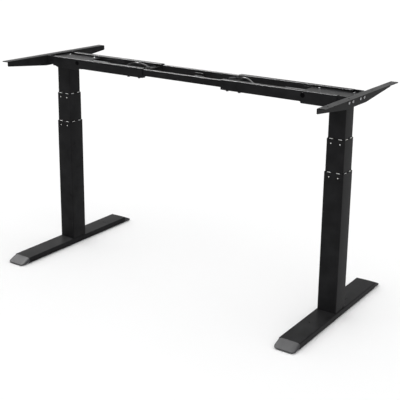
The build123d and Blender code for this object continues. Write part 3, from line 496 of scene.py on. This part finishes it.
def cap_plastic():
    """Moulded plastic with a spark-eroded grain and a faint flow pattern."""
    colour = tuple(colours().cap)
    material, shader = new_finish(colour, 0.5, specular=0.015)
    flow, fine = grain(material, 60, 3, (1, 0.25, 1)), grain(material, 1600, 1)
    spread_colour(material, shader, flow, colour, 0.88, 1.12)
    spread_roughness(material, shader, flow, 0.56, 0.68)
    raise_grain(material, shader, [(fine, 0.06 * MM)])
    return material


def white_nylon():
    """Slightly translucent nylon with a waxy, uneven gloss."""
    colour = tuple(colours().nylon)
    material, shader = new_finish(colour, 0.4)
    shader.inputs["Subsurface Weight"].default_value = 0.15
    shader.inputs["Subsurface Radius"].default_value = (1.5 * MM, 1.4 * MM, 1.2 * MM)
    cloud = grain(material, 160, 3)
    spread_colour(material, shader, cloud, colour, 0.94, 1.0)
    spread_roughness(material, shader, cloud, 0.34, 0.48)
    raise_grain(material, shader, [(cloud, 0.05 * MM)])
    return material


def zinc_plate():
    """Bright plated screws with a cloudy passivation."""
    colour = tuple(colours().zinc)
    material, shader = new_finish(colour, 0.25, metallic=1.0)
    cloud = grain(material, 420, 4)
    spread_colour(material, shader, cloud, colour, 0.82, 1.08)
    spread_roughness(material, shader, cloud, 0.18, 0.34)
    raise_grain(material, shader, [(cloud, 0.02 * MM)])
    return material


def black_oxide():
    """Blackened screws with a dry sheen on the high spots."""
    colour = (0.018, 0.018, 0.019)
    material, shader = new_finish(colour, 0.4, metallic=0.6)
    cloud = grain(material, 700, 3)
    spread_colour(material, shader, cloud, colour, 0.7, 1.6)
    spread_roughness(material, shader, cloud, 0.30, 0.48)
    raise_grain(material, shader, [(cloud, 0.03 * MM)])
    return material


def oiled_steel():
    """Drawn steel with fine lines along its length and an uneven film of oil."""
    colour = tuple(colours().steel)
    material, shader = new_finish(colour, 0.3, metallic=1.0)
    lines, film = grain(material, 1500, 2, (1, 1, 0.03)), grain(material, 45, 3)
    spread_colour(material, shader, film, colour, 0.8, 1.1)
    spread_roughness(material, shader, film, 0.22, 0.42)
    raise_grain(material, shader, [(lines, 0.02 * MM)])
    return material


def cast_alloy():
    """Die cast alloy, tumbled: grainy, with flow marks."""
    colour = tuple(colours().alloy)
    material, shader = new_finish(colour, 0.5, metallic=0.9)
    flow, pits = grain(material, 70, 4), grain(material, 650, 3)
    spread_colour(material, shader, flow, colour, 0.82, 1.15)
    spread_roughness(material, shader, pits, 0.42, 0.62)
    raise_grain(material, shader, [(flow, 0.10 * MM), (pits, 0.06 * MM)])
    return material


def motor_paint():
    """Semi-gloss paint with orange peel."""
    colour = (0.020, 0.020, 0.022)
    material, shader = new_finish(colour, 0.25, specular=0.5)
    peel = grain(material, 260, 2)
    spread_colour(material, shader, peel, colour, 0.85, 1.15)
    spread_roughness(material, shader, peel, 0.20, 0.32)
    raise_grain(material, shader, [(peel, 0.05 * MM)])
    return material


def gloss_plastic():
    """Polished moulded plastic with hairline handling marks in its gloss."""
    colour = (0.0015, 0.0015, 0.0018)
    material, shader = new_finish(colour, 0.08, specular=0.02)
    marks = grain(material, 900, 2, (1, 1, 0.06))
    spread_colour(material, shader, marks, colour, 0.9, 1.1)
    spread_roughness(material, shader, marks, 0.05, 0.13)
    raise_grain(material, shader, [(marks, 0.004 * MM)])
    return material


def pad_rubber():
    """Matt rubber with a dusty stipple."""
    colour = (0.022, 0.022, 0.023)
    material, shader = new_finish(colour, 0.8, specular=0.35)
    dust, stipple = grain(material, 90, 4), grain(material, 1400, 1)
    spread_colour(material, shader, dust, colour, 0.8, 1.5)
    spread_roughness(material, shader, dust, 0.70, 0.90)
    raise_grain(material, shader, [(stipple, 0.08 * MM)])
    return material


def lead_jacket():
    """Soft extruded jacket with a slight ripple."""
    colour = (0.016, 0.016, 0.017)
    material, shader = new_finish(colour, 0.42, specular=0.06)
    ripple = grain(material, 330, 2)
    spread_colour(material, shader, ripple, colour, 0.85, 1.2)
    spread_roughness(material, shader, ripple, 0.34, 0.50)
    raise_grain(material, shader, [(ripple, 0.05 * MM)])
    return material


def floor_paint():
    """Pale studio floor with a barely uneven tone."""
    colour = tuple(bpy.context.scene.desk_stage.floor)
    material, shader = new_finish(colour, 0.9, specular=0.0)
    material.name = "floor_paint"
    cloud = grain(material, 0.8, 2)
    spread_colour(material, shader, cloud, colour, 0.985, 1.0)
    return material


FINISHES = {
    "black_powder_coat": powder_coat,
    "cap_plastic": cap_plastic,
    "black_fastener": black_oxide,
    "bright_fastener": zinc_plate,
    "white_nylon": white_nylon,
    "raw_steel": oiled_steel,
    "cast_alloy": cast_alloy,
    "motor_black": motor_paint,
    "gloss_plug": gloss_plastic,
    "pad_rubber": pad_rubber,
    "lead_jacket": lead_jacket,
}


def finish(slot):
    """The material of a slot, made once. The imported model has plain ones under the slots' names."""
    name = slot + "_finish"
    made = bpy.data.materials.get(name)
    if not made:
        made = FINISHES[slot]()
        made.name = name
    return made


# ---------------------------------------------------------------- foot caps
def cap_shell(low, high, outward, crown):
    """One sloped cap. At each distance from its root the section is a rounded rectangle whose
    height falls in a straight line to the toe and whose half width follows the plan's corner
    arcs. The slope is lifted by crown times the cosine across it, and the toe is rolled under."""
    root, tip = (low[1], high[1]) if outward > 0 else (high[1], low[1])
    run = abs(tip - root)
    height, width = high[2] - low[2], high[0] - low[0]
    corner, toe, nose = 14 * MM, 3.2 * MM, 1.4 * MM
    along = np.concatenate([[0, 0.3 * MM], np.linspace(1.0 * MM, run - corner, 18),
                            run - corner + corner * np.sin(np.linspace(0.06, math.pi / 2, 22))])
    along = np.clip(along, 0, run)
    into_corner = np.clip(along - (run - corner), 0, corner)
    half = width / 2 - corner + np.sqrt(np.maximum(corner ** 2 - into_corner ** 2, 0))
    tall = height + (toe - height) * along / run
    roll = np.sqrt(np.clip((run - along) / nose, 0, 1))
    tall = tall * (0.35 + 0.65 * roll)
    tall[0] -= 0.5 * MM
    half[0] -= 0.5 * MM
    angle = np.linspace(0, TAU, 96, endpoint=False)
    square = np.abs(np.cos(angle)) ** 0.28 * np.sign(np.cos(angle))
    upright = np.abs(np.sin(angle)) ** 0.42 * np.sign(np.sin(angle))
    rise = np.where(upright > 0, np.cos(square * math.pi / 2) * crown, 0)
    x = (low[0] + high[0]) / 2 + half[:, None] * square
    fade = np.sin(np.clip(along / run, 0, 1) * math.pi)[:, None]
    z = low[2] + tall[:, None] * (0.5 + 0.5 * upright) + rise * fade
    y = np.broadcast_to((root + outward * along)[:, None], x.shape)
    shell = np.stack([x, y, z], axis=-1)
    ends = [shell[i].mean(axis=0)[None, None].repeat(len(angle), axis=1) for i in (0, -1)]
    return surface(np.concatenate([ends[0], shell, ends[1]]))


class DESK_OT_foot_caps(bpy.types.Operator):
    """Fits the sloped plastic caps to both ends of each foot"""
    bl_idname = "desk.foot_caps"
    bl_label = "Foot caps"

    def execute(self, context):
        for side in SIDES:
            node = "foot_caps_" + side
            foot_low, foot_high = box("foot_" + side)
            shells = []
            for low, high in solids_of(node):
                outward = math.copysign(1, low[1] + high[1])
                joint = foot_high[1] if outward > 0 else foot_low[1]
                low, high = low.copy(), high.copy()
                (low if outward > 0 else high)[1] = joint
                shells.append(cap_shell(low, high, outward, context.scene.desk_sizes.cap_crown))
            make_piece("foot_cap_shells_" + side, shells, "cap_plastic", node, crease=60)
        return {"FINISHED"}


# ---------------------------------------------------------------- coated steel
COATED = ("foot", "outer_tube", "middle_tube", "inner_tube", "outer_rails", "rail_tie", "wing",
          "wing_brackets", "head_tray", "head_cover")
COATED_MIDDLE = ("centre_rail_front", "centre_rail_rear", "centre_tie")


class DESK_OT_coated_steel(bpy.types.Operator):
    """Rolls the edges of tubes and folded sheet and powder coats them"""
    bl_idname = "desk.coated_steel"
    bl_label = "Coated steel"

    def execute(self, context):
        nodes = [f"{name}_{side}" for name in COATED for side in SIDES] + list(COATED_MIDDLE)
        for node in nodes:
            rolled_copy(node, context.scene.desk_sizes.steel_edge, "black_powder_coat")
        return {"FINISHED"}


# ---------------------------------------------------------------- nylon
class DESK_OT_nylon(bpy.types.Operator):
    """Softens the edges of the glides and bushes"""
    bl_idname = "desk.nylon"
    bl_label = "Glides and bushes"

    def execute(self, context):
        for name in ("lower_glides", "upper_glides", "rail_bushes"):
            for side in SIDES:
                slot = "black_fastener" if name == "rail_bushes" else "white_nylon"
                rolled_copy(f"{name}_{side}", context.scene.desk_sizes.nylon_edge, slot)
        return {"FINISHED"}


# ---------------------------------------------------------------- motors
def motor_surfaces(low, high, inward):
    """A turned can with rolled beads, a stepped bell with a bearing boss and four cooling
    slots, and a square mounting flange, all along X. Heights run from the inner end."""
    length, radius = high[0] - low[0], (high[2] - low[2]) / 2
    start = low[0] if inward < 0 else high[0]
    origin = (start, 0, (low[2] + high[2]) / 2)
    bell, flange = 10 * MM, 6 * MM
    skin = radius - 0.1 * MM
    outline = [(0, 0), (5 * MM, 0), (5 * MM, 1.4 * MM), (skin - 4.5 * MM, 1.4 * MM),
               (skin - 1.6 * MM, 4 * MM), (skin - 1.6 * MM, bell), (skin, bell),
               (skin, bell + 6 * MM), (skin - 0.8 * MM, bell + 7 * MM),
               (skin - 0.8 * MM, bell + 8.4 * MM), (skin, bell + 9.4 * MM),
               (skin, length - flange - 9 * MM), (skin - 0.8 * MM, length - flange - 8 * MM),
               (skin - 0.8 * MM, length - flange - 6.6 * MM), (skin, length - flange - 5.6 * MM),
               (skin, length - flange), (0, length - flange)]
    radii = [0.4 * MM, 0.5 * MM, 2.2 * MM, 1.8 * MM, 0.3 * MM] + [0.5 * MM] * 9 + [0.3 * MM] * 2
    profile = densed(eased(outline, radii, 4), 3 * MM)

    def slots(r, h, a):
        arms = np.abs(((a / TAU * 8) % 1) - 0.5)
        cut = smooth_step((0.2 - arms) / 0.06) * smooth_step((h - 4.6 * MM) / MM)
        cut = cut * smooth_step((bell - 0.6 * MM - h) / MM) * (r > skin / 2)
        return r - 1.1 * MM * cut, h

    can = turned(profile, origin, (-inward, 0, 0), 96, slots)
    plate_low = start - inward * (length - flange)
    side = 2 * radius + 2.6 * MM
    section = ring_section(side, 0.83 * side, 5 * MM)
    plate_z = origin[2] + 1.1 * MM
    ends = [(plate_low, 0, plate_z), (plate_low - inward * flange, 0, plate_z)]
    return [can, swept(np.linspace(*ends, 4), section)]


class DESK_OT_motors(bpy.types.Operator):
    """Builds the two drive motors"""
    bl_idname = "desk.motors"
    bl_label = "Motors"

    def execute(self, context):
        for side in SIDES:
            low, high = box("motor_" + side)
            inward = 1 if side == "left" else -1
            make_piece("motor_can_" + side, motor_surfaces(low, high, inward), "motor_black",
                       "motor_" + side)
        return {"FINISHED"}


# ---------------------------------------------------------------- motor leads
LEAD_ROUTES = {
    "right": [(392, -6, 784), (374, -6, 784), (350, -18, 786), (324, -36, 790), (298, -30, 795),
              (270, -8, 799), (244, 16, 802), (218, 32, 803), (197, 25, 803), (188, 7, 803)],
    "left": [(-392, -6, 784), (-374, -6, 784), (-350, -16, 785), (-326, -30, 789),
             (-306, -22, 794), (-300, -4, 798), (-306, 16, 800), (-302, 34, 801), (-286, 42, 802),
             (-264, 36, 803), (-236, 21, 803), (-213, 7, 803), (-197, -9, 803)],
}


def smooth_route(points):
    """Points along a smooth spline that has the route's points as its control points."""
    curve = bpy.data.curves.new("route", "CURVE")
    curve.dimensions = "3D"
    curve.resolution_u = 10
    spline = curve.splines.new("NURBS")
    spline.points.add(len(points) - 1)
    controls = np.column_stack([np.array(points, float) * MM, np.ones(len(points))])
    spline.points.foreach_set("co", controls.ravel())
    spline.order_u = 3
    spline.use_endpoint_u = True
    carrier = bpy.data.objects.new("route", curve)
    line = bpy.data.meshes.new_from_object(carrier)
    path = np.empty(len(line.vertices) * 3)
    line.vertices.foreach_get("co", path)
    bpy.data.objects.remove(carrier)
    bpy.data.meshes.remove(line)
    bpy.data.curves.remove(curve)
    return path.reshape(-1, 3)


class DESK_OT_motor_leads(bpy.types.Operator):
    """Runs each motor's lead from its gland through the clips to the plug"""
    bl_idname = "desk.motor_leads"
    bl_label = "Motor leads"

    def execute(self, context):
        radius = context.scene.desk_sizes.lead_diameter / 2
        section = ring_section(2 * radius, 2 * radius, radius, 7)
        for side in SIDES:
            tube = swept(smooth_route(LEAD_ROUTES[side]), section)
            make_piece("motor_lead_jacket_" + side, [tube], "lead_jacket", "motor_lead_" + side)
            rolled_copy("lead_fittings_" + side, context.scene.desk_sizes.nylon_edge, "cap_plastic")
        return {"FINISHED"}


# ---------------------------------------------------------------- plugs in the rails
class DESK_OT_rail_plugs(bpy.types.Operator):
    """Turns the crowned gloss plugs in the rails' outer faces"""
    bl_idname = "desk.rail_plugs"
    bl_label = "Rail plugs"

    def execute(self, context):
        for side in SIDES:
            node = "rail_plugs_" + side
            surfaces = []
            for low, high in solids_of(node):
                outward = math.copysign(1, low[1] + high[1])
                face = high[1] if outward > 0 else low[1]
                back = low[1] if outward > 0 else high[1]
                radius, deep = (high[0] - low[0]) / 2, abs(face - back)
                outline = [(0, deep), (radius - 1.4 * MM, deep - 0.5 * MM), (radius, deep - 1.5 * MM),
                           (radius, deep - 2.2 * MM), (radius - 2.5 * MM, deep - 2.2 * MM),
                           (radius - 2.5 * MM, 0), (0, 0)]
                profile = eased(outline, [0.9 * MM, 0.5 * MM, 0.3 * MM, 0.2 * MM, 0.3 * MM], 6)
                origin = ((low[0] + high[0]) / 2, back, (low[2] + high[2]) / 2)
                surfaces.append(turned(profile, origin, (0, outward, 0), 64))
            make_piece("rail_plug_domes_" + side, surfaces, "gloss_plug", node, crease=70)
        return {"FINISHED"}


# ---------------------------------------------------------------- screws
def recess(kind, reach, deep):
    """A driver's recess as a relief: cross or hexagon. Points inside its outline go down by the
    depth, with a short slope at the outline."""
    def lower(r, h, a):
        if kind == "cross":
            across = np.minimum(np.abs(r * np.cos(a)), np.abs(r * np.sin(a)))
            inside = smooth_step((0.20 * reach - across) / (0.08 * reach))
            inside = inside * smooth_step((reach - r) / (0.15 * reach))
        else:
            inside = smooth_step((polygon_radius(a, 2 * reach) - r) / (0.06 * reach))
        return r, np.where(h > -deep, h - deep * inside * (r < 1.2 * reach), h)
    return lower


def screw_surfaces(origin, axis, head_radius, head_height, shank_radius, length, pitch, kind):
    """A screw along its axis, its seat at height 0: a domed or straight head above with a
    recess, and a threaded shank below."""
    if kind == "cross":
        outline = [(0, head_height), (0.72 * head_radius, 0.86 * head_height),
                   (head_radius, 0.45 * head_height), (head_radius, 0), (0, 0)]
        radii = [0.3 * head_radius, 0.3 * head_radius, 0.1 * head_radius]
    else:
        outline = [(0, head_height), (head_radius, head_height), (head_radius, 0), (0, 0)]
        radii = [0.18 * head_radius, 0.05 * head_radius]
    profile = densed(eased(outline, radii, 6), 0.09 * head_radius)
    cut = recess(kind, 0.55 * head_radius, 0.55 * head_height)

    def driven(r, h, a):
        r2, h2 = cut(r, h, a)
        return r2, np.where(h > 0.5 * head_height, h2, h)

    head = turned(profile, origin, axis, 64, driven)
    shank = threaded_rod(origin, axis, shank_radius, (-length, 0), pitch, 0.12 * shank_radius, 20)
    return [head, shank]


def nut_surfaces(origin, axis, across_flats, height, bore):
    """A hexagon nut: the radius is the smaller of the hexagon's and a 30 degree cone's, with a
    countersunk bore through it."""
    corner = across_flats / math.sqrt(3)
    inner = [(bore, 0.4 * MM), (bore + 0.4 * MM, 0)]
    outer = [(corner, 0), (corner, height)]
    profile = np.array(inner + outer + [(bore + 0.4 * MM, height), (bore, height - 0.4 * MM), inner[0]])
    profile = densed(profile, 0.5 * MM)

    def hexagon(r, h, a):
        edge = np.minimum(h, height - h)
        cone = across_flats / 2 + math.sqrt(3) * edge
        outside = np.minimum(r, np.minimum(polygon_radius(a, across_flats), cone))
        return np.where(r > bore + 0.5 * MM, outside, r), h

    return turned(profile, origin, axis, 72, hexagon)


class DESK_OT_wing_screws(bpy.types.Operator):
    """Drives the pan head screws and nuts that hold each wing to its brackets"""
    bl_idname = "desk.wing_screws"
    bl_label = "Wing screws"

    def execute(self, context):
        pitch = context.scene.desk_sizes.screw_pitch
        longest_nut = 8 * MM
        nut_bore = M6_RADIUS + 0.1 * MM
        for side in SIDES:
            outward = 1 if side == "right" else -1
            wing_low, wing_high = box("wing_" + side)
            web_inner = wing_low[0] if outward > 0 else wing_high[0]
            web_outer = web_inner + outward * WING_WEB
            surfaces = []
            for low, high in solids_of("wing_screws_" + side):
                y, z = (low[1] + high[1]) / 2, (low[2] + high[2]) / 2
                is_screw = high[0] - low[0] > longest_nut
                if is_screw:
                    tip = low[0] if outward > 0 else high[0]
                    top = high[0] if outward > 0 else low[0]
                    surfaces += screw_surfaces(
                        (web_outer, y, z), (outward, 0, 0), (high[1] - low[1]) / 2,
                        abs(top - web_outer), M6_RADIUS, abs(web_outer - tip), pitch, "cross")
                else:
                    near = low[0] if outward > 0 else high[0]
                    surfaces.append(nut_surfaces((near, y, z), (outward, 0, 0), M6_ACROSS_FLATS,
                                                 high[0] - low[0], nut_bore))
            make_piece("wing_screw_set_" + side, surfaces, "bright_fastener",
                       "wing_screws_" + side, crease=35)
        return {"FINISHED"}


class DESK_OT_head_screws(bpy.types.Operator):
    """Drives the gearbox, lid and rail lock screws at each column head"""
    bl_idname = "desk.head_screws"
    bl_label = "Head screws"

    def execute(self, context):
        pitch = context.scene.desk_sizes.screw_pitch
        lid_screw, gearbox_screw = ("cross", 2.2 * MM, 2.0 * MM), ("hex", 3.5 * MM, 2.5 * MM)
        lock_head, closed_bore = 4 * MM, 0.4 * MM
        for side in SIDES:
            lid_top = box("head_cover_" + side)[1][2]
            rail_inside = box("rail_tie_" + side)[1][1]
            surfaces = []
            for low, high in solids_of("head_screws_" + side):
                middle = (low + high) / 2
                size = high - low
                if abs(middle[1]) > rail_inside:
                    seat = (middle[0], middle[1], low[2] + lock_head)
                    reach = (seat[2] - high[2], 0.9 * lock_head)
                    surfaces.append(nut_surfaces(seat, DOWN, M6_ACROSS_FLATS, lock_head, closed_bore))
                    surfaces.append(threaded_rod(seat, DOWN, M6_RADIUS, reach, pitch, 0.3 * MM, 20))
                    continue
                on_lid = high[2] > lid_top
                kind, head, shank = lid_screw if on_lid else gearbox_screw
                surfaces += screw_surfaces((middle[0], middle[1], high[2] - head), UP, size[0] / 2,
                                           head, shank, size[2] - head, pitch, kind)
            make_piece("head_screw_set_" + side, surfaces, "black_fastener",
                       "head_screws_" + side, crease=35)
        return {"FINISHED"}


class DESK_OT_foot_bolts(bpy.types.Operator):
    """Sets the knurled cap screws that hold each column on its foot"""
    bl_idname = "desk.foot_bolts"
    bl_label = "Foot bolts"

    def execute(self, context):
        head = 8 * MM
        for side in SIDES:
            surfaces = []
            for low, high in solids_of("foot_bolts_" + side):
                middle = (low + high) / 2
                radius = (high[0] - low[0]) / 2
                seat = (middle[0], middle[1], low[2] + head)
                outline = [(0, head), (radius, head), (radius, 0), (0, 0)]
                profile = densed(eased(outline, [0.8 * MM, 0.3 * MM], 5), 0.3 * MM)
                socket = recess("hex", 0.53 * radius, 4 * MM)

                def knurled(r, h, a):
                    r2, h2 = socket(r, h, a)
                    rim = smooth_step((h - 1.2 * MM) / MM) * smooth_step((head - 1.2 * MM - h) / MM)
                    ridge = 0.18 * MM * (0.5 + 0.5 * np.cos(36 * a)) * rim
                    return np.where(r > 0.95 * radius, r2 - ridge, r2), np.where(h > head / 2, h2, h)

                surfaces.append(turned(profile, seat, DOWN, 144, knurled))
                surfaces.append(threaded_rod(seat, DOWN, M8_RADIUS, (seat[2] - high[2], 0),
                                             M8_PITCH, 0.4 * MM))
            make_piece("foot_bolt_set_" + side, surfaces, "black_fastener",
                       "foot_bolts_" + side, crease=35)
        return {"FINISHED"}


# ---------------------------------------------------------------- levelling feet
class DESK_OT_levelling_feet(bpy.types.Operator):
    """Moulds the ribbed pads with their threaded studs"""
    bl_idname = "desk.levelling_feet"
    bl_label = "Levelling feet"

    def execute(self, context):
        thick, rib_spacing = 2.8 * MM, 3.2 * MM
        for side in SIDES:
            for letter in "ab":
                node = f"levelling_foot_{letter}_{side}"
                low, high = box(node)
                radius = (high[0] - low[0]) / 2
                origin = ((low[0] + high[0]) / 2, (low[1] + high[1]) / 2, low[2])
                outline = [(0, 0), (radius - 0.6 * MM, 0), (radius, 0.7 * MM),
                           (radius, thick - 0.9 * MM), (radius - MM, thick), (0, thick)]
                profile = densed(eased(outline, [0.5 * MM] * 4, 4), 0.35 * MM)

                def ribs(r, h, a):
                    ring = 0.5 - 0.5 * np.cos(TAU * r / rib_spacing)
                    under = ring * (h < 0.2 * MM) * (r > 3 * MM) * (r < radius - 1.5 * MM)
                    grip = 0.25 * MM * (0.5 + 0.5 * np.cos(40 * a)) * (r > radius - 0.5 * MM)
                    return r - grip, h + 0.6 * MM * under

                stud = threaded_rod(origin, UP, M8_RADIUS, (thick - 0.5 * MM, high[2] - low[2]),
                                    M8_PITCH, 0.45 * MM)
                pad = turned(profile, origin, UP, 120, ribs)
                make_piece(f"levelling_pad_{letter}_{side}", [pad, stud], "pad_rubber", node,
                           crease=35)
        return {"FINISHED"}


# ---------------------------------------------------------------- lifting gear
class DESK_OT_lifting_gear(bpy.types.Operator):
    """Cuts the threads of the lift screws and spindles and finishes what runs beside them"""
    bl_idname = "desk.lifting_gear"
    bl_label = "Lifting gear"

    def execute(self, context):
        pitch = context.scene.desk_sizes.lift_pitch
        screw_radius, screw_bore, ring_hole, ring_radius = 10 * MM, 7 * MM, 6.1 * MM, 14.4 * MM
        rod_radius, journal_radius, journal_length = 6 * MM, 10 * MM, 5 * MM
        for side in SIDES:
            low, high = box("lift_screw_" + side)
            centre = (low + high) / 2
            origin = (centre[0], centre[1], 0)
            collar = high[2] - 4 * MM
            screw = threaded_rod(origin, UP, screw_radius, (low[2], collar), pitch, 1.2 * MM, 28,
                                 bore=screw_bore)
            outline = [(ring_hole, collar), (ring_radius, collar), (ring_radius, high[2]),
                       (ring_hole, high[2]), (ring_hole, collar)]
            ring = turned(eased(outline, [0.5 * MM] * 3, 4), origin, UP)
            make_piece("lift_screw_thread_" + side, [screw, ring], "raw_steel",
                       "lift_screw_" + side, crease=50)
            low, high = box("spindle_" + side)
            shoulder = box("inner_tube_" + side)[1][2] - MM
            step = shoulder - journal_length
            rod = threaded_rod(origin, UP, rod_radius, (low[2], step), pitch, 0.9 * MM)
            outline = [(0, step), (journal_radius, step), (journal_radius, shoulder),
                       (rod_radius, shoulder), (rod_radius, high[2]), (0, high[2])]
            journal = turned(densed(eased(outline, [0.6 * MM] * 4, 4), 4 * MM), origin, UP)
            make_piece("spindle_thread_" + side, [rod, journal], "raw_steel", "spindle_" + side,
                       crease=50)
            for name in ("push_tube", "middle_sleeve"):
                rolled_copy(f"{name}_{side}", context.scene.desk_sizes.nylon_edge, "raw_steel")
        return {"FINISHED"}


class DESK_OT_gearboxes(bpy.types.Operator):
    """Rounds and finishes the cast gearbox housings"""
    bl_idname = "desk.gearboxes"
    bl_label = "Gearboxes"

    def execute(self, context):
        for side in SIDES:
            rolled_copy("gearbox_" + side, context.scene.desk_sizes.steel_edge, "cast_alloy")
        return {"FINISHED"}


# ---------------------------------------------------------------- stage
def far_light(name, strength, spread, toward=UP):
    """Light of one strength everywhere, from a far lamp in the given direction."""
    light = bpy.data.lights.new(name, "SUN")
    light.energy = strength
    light.angle = spread
    holder = add_object(name, light)
    holder.rotation_euler = Vector(toward).to_track_quat("Z", "Y").to_euler()
    return holder


class DESK_OT_stage(bpy.types.Operator):
    """Lays the pale floor, hangs the soft lights and sets up the camera"""
    bl_idname = "desk.stage"
    bl_label = "Stage"

    def execute(self, context):
        stage = context.scene.desk_stage
        reach = 60.0
        mesh = bpy.data.meshes.new("floor")
        corners = [(-reach, -reach, 0), (reach, -reach, 0), (reach, reach, 0), (-reach, reach, 0)]
        mesh.from_pydata(corners, [], [(0, 1, 2, 3)])
        mesh.materials.append(floor_paint())
        floor = add_object("floor", mesh)
        floor.location.z = CAD_BOX[0][2]

        world = bpy.data.worlds.new("white_room")
        world.use_nodes = True
        background = world.node_tree.nodes["Background"]
        background.inputs["Color"].default_value = (1, 1, 1, 1)
        background.inputs["Strength"].default_value = stage.surround
        context.scene.world = world
        context.scene.view_settings.view_transform = "Standard"

        far_light("ceiling", stage.ceiling, stage.ceiling_spread)
        glint = far_light("glint", stage.glint, stage.glint_spread, stage.glint_from)
        glint.visible_diffuse = False

        lens = bpy.data.cameras.new("camera")
        lens.sensor_width = 36
        lens.lens = stage.lens
        lens.shift_x = stage.shift_x
        lens.shift_y = stage.shift_y
        lens.clip_end = 200
        camera = add_object("camera", lens)
        look = (Matrix.Rotation(stage.turn, 4, "Z") @ Matrix.Rotation(math.pi / 2 + stage.tilt, 4, "X")
                @ Matrix.Rotation(stage.roll, 4, "Z"))
        camera.matrix_world = Matrix.Translation(stage.eye) @ look
        context.scene.camera = camera
        return {"FINISHED"}


# ---------------------------------------------------------------- panel and registration
OPERATORS = (
    DESK_OT_stage, DESK_OT_motor_leads, DESK_OT_coated_steel, DESK_OT_foot_caps, DESK_OT_nylon,
    DESK_OT_motors, DESK_OT_gearboxes, DESK_OT_rail_plugs, DESK_OT_wing_screws,
    DESK_OT_head_screws, DESK_OT_foot_bolts, DESK_OT_levelling_feet, DESK_OT_lifting_gear,
)
SETTINGS = {"desk_sizes": DeskSizes, "desk_colours": DeskColours, "desk_stage": DeskStage}


class DESK_PT_looks(bpy.types.Panel):
    """Lists the desk frame's settings and the steps that finish it"""
    bl_idname = "DESK_PT_looks"
    bl_label = "Desk frame"
    bl_space_type = "VIEW_3D"
    bl_region_type = "UI"
    bl_category = "Desk frame"

    def draw(self, context):
        for name, group in SETTINGS.items():
            column = self.layout.column(heading=group.__name__)
            for field in group.__annotations__:
                column.prop(getattr(context.scene, name), field)
        for operator in OPERATORS:
            self.layout.operator(operator.bl_idname)


def register():
    for group in (*SETTINGS.values(), *OPERATORS, DESK_PT_looks):
        bpy.utils.register_class(group)
    for name, group in SETTINGS.items():
        setattr(bpy.types.Scene, name, PointerProperty(type=group))


def unregister():
    for name in SETTINGS:
        delattr(bpy.types.Scene, name)
    for group in (DESK_PT_looks, *reversed(OPERATORS), *SETTINGS.values()):
        bpy.utils.unregister_class(group)


def main():
    register()
    for operator in OPERATORS:
        family, name = operator.bl_idname.split(".")
        getattr(getattr(bpy.ops, family), name)()


if __name__ == "__main__":
    main()
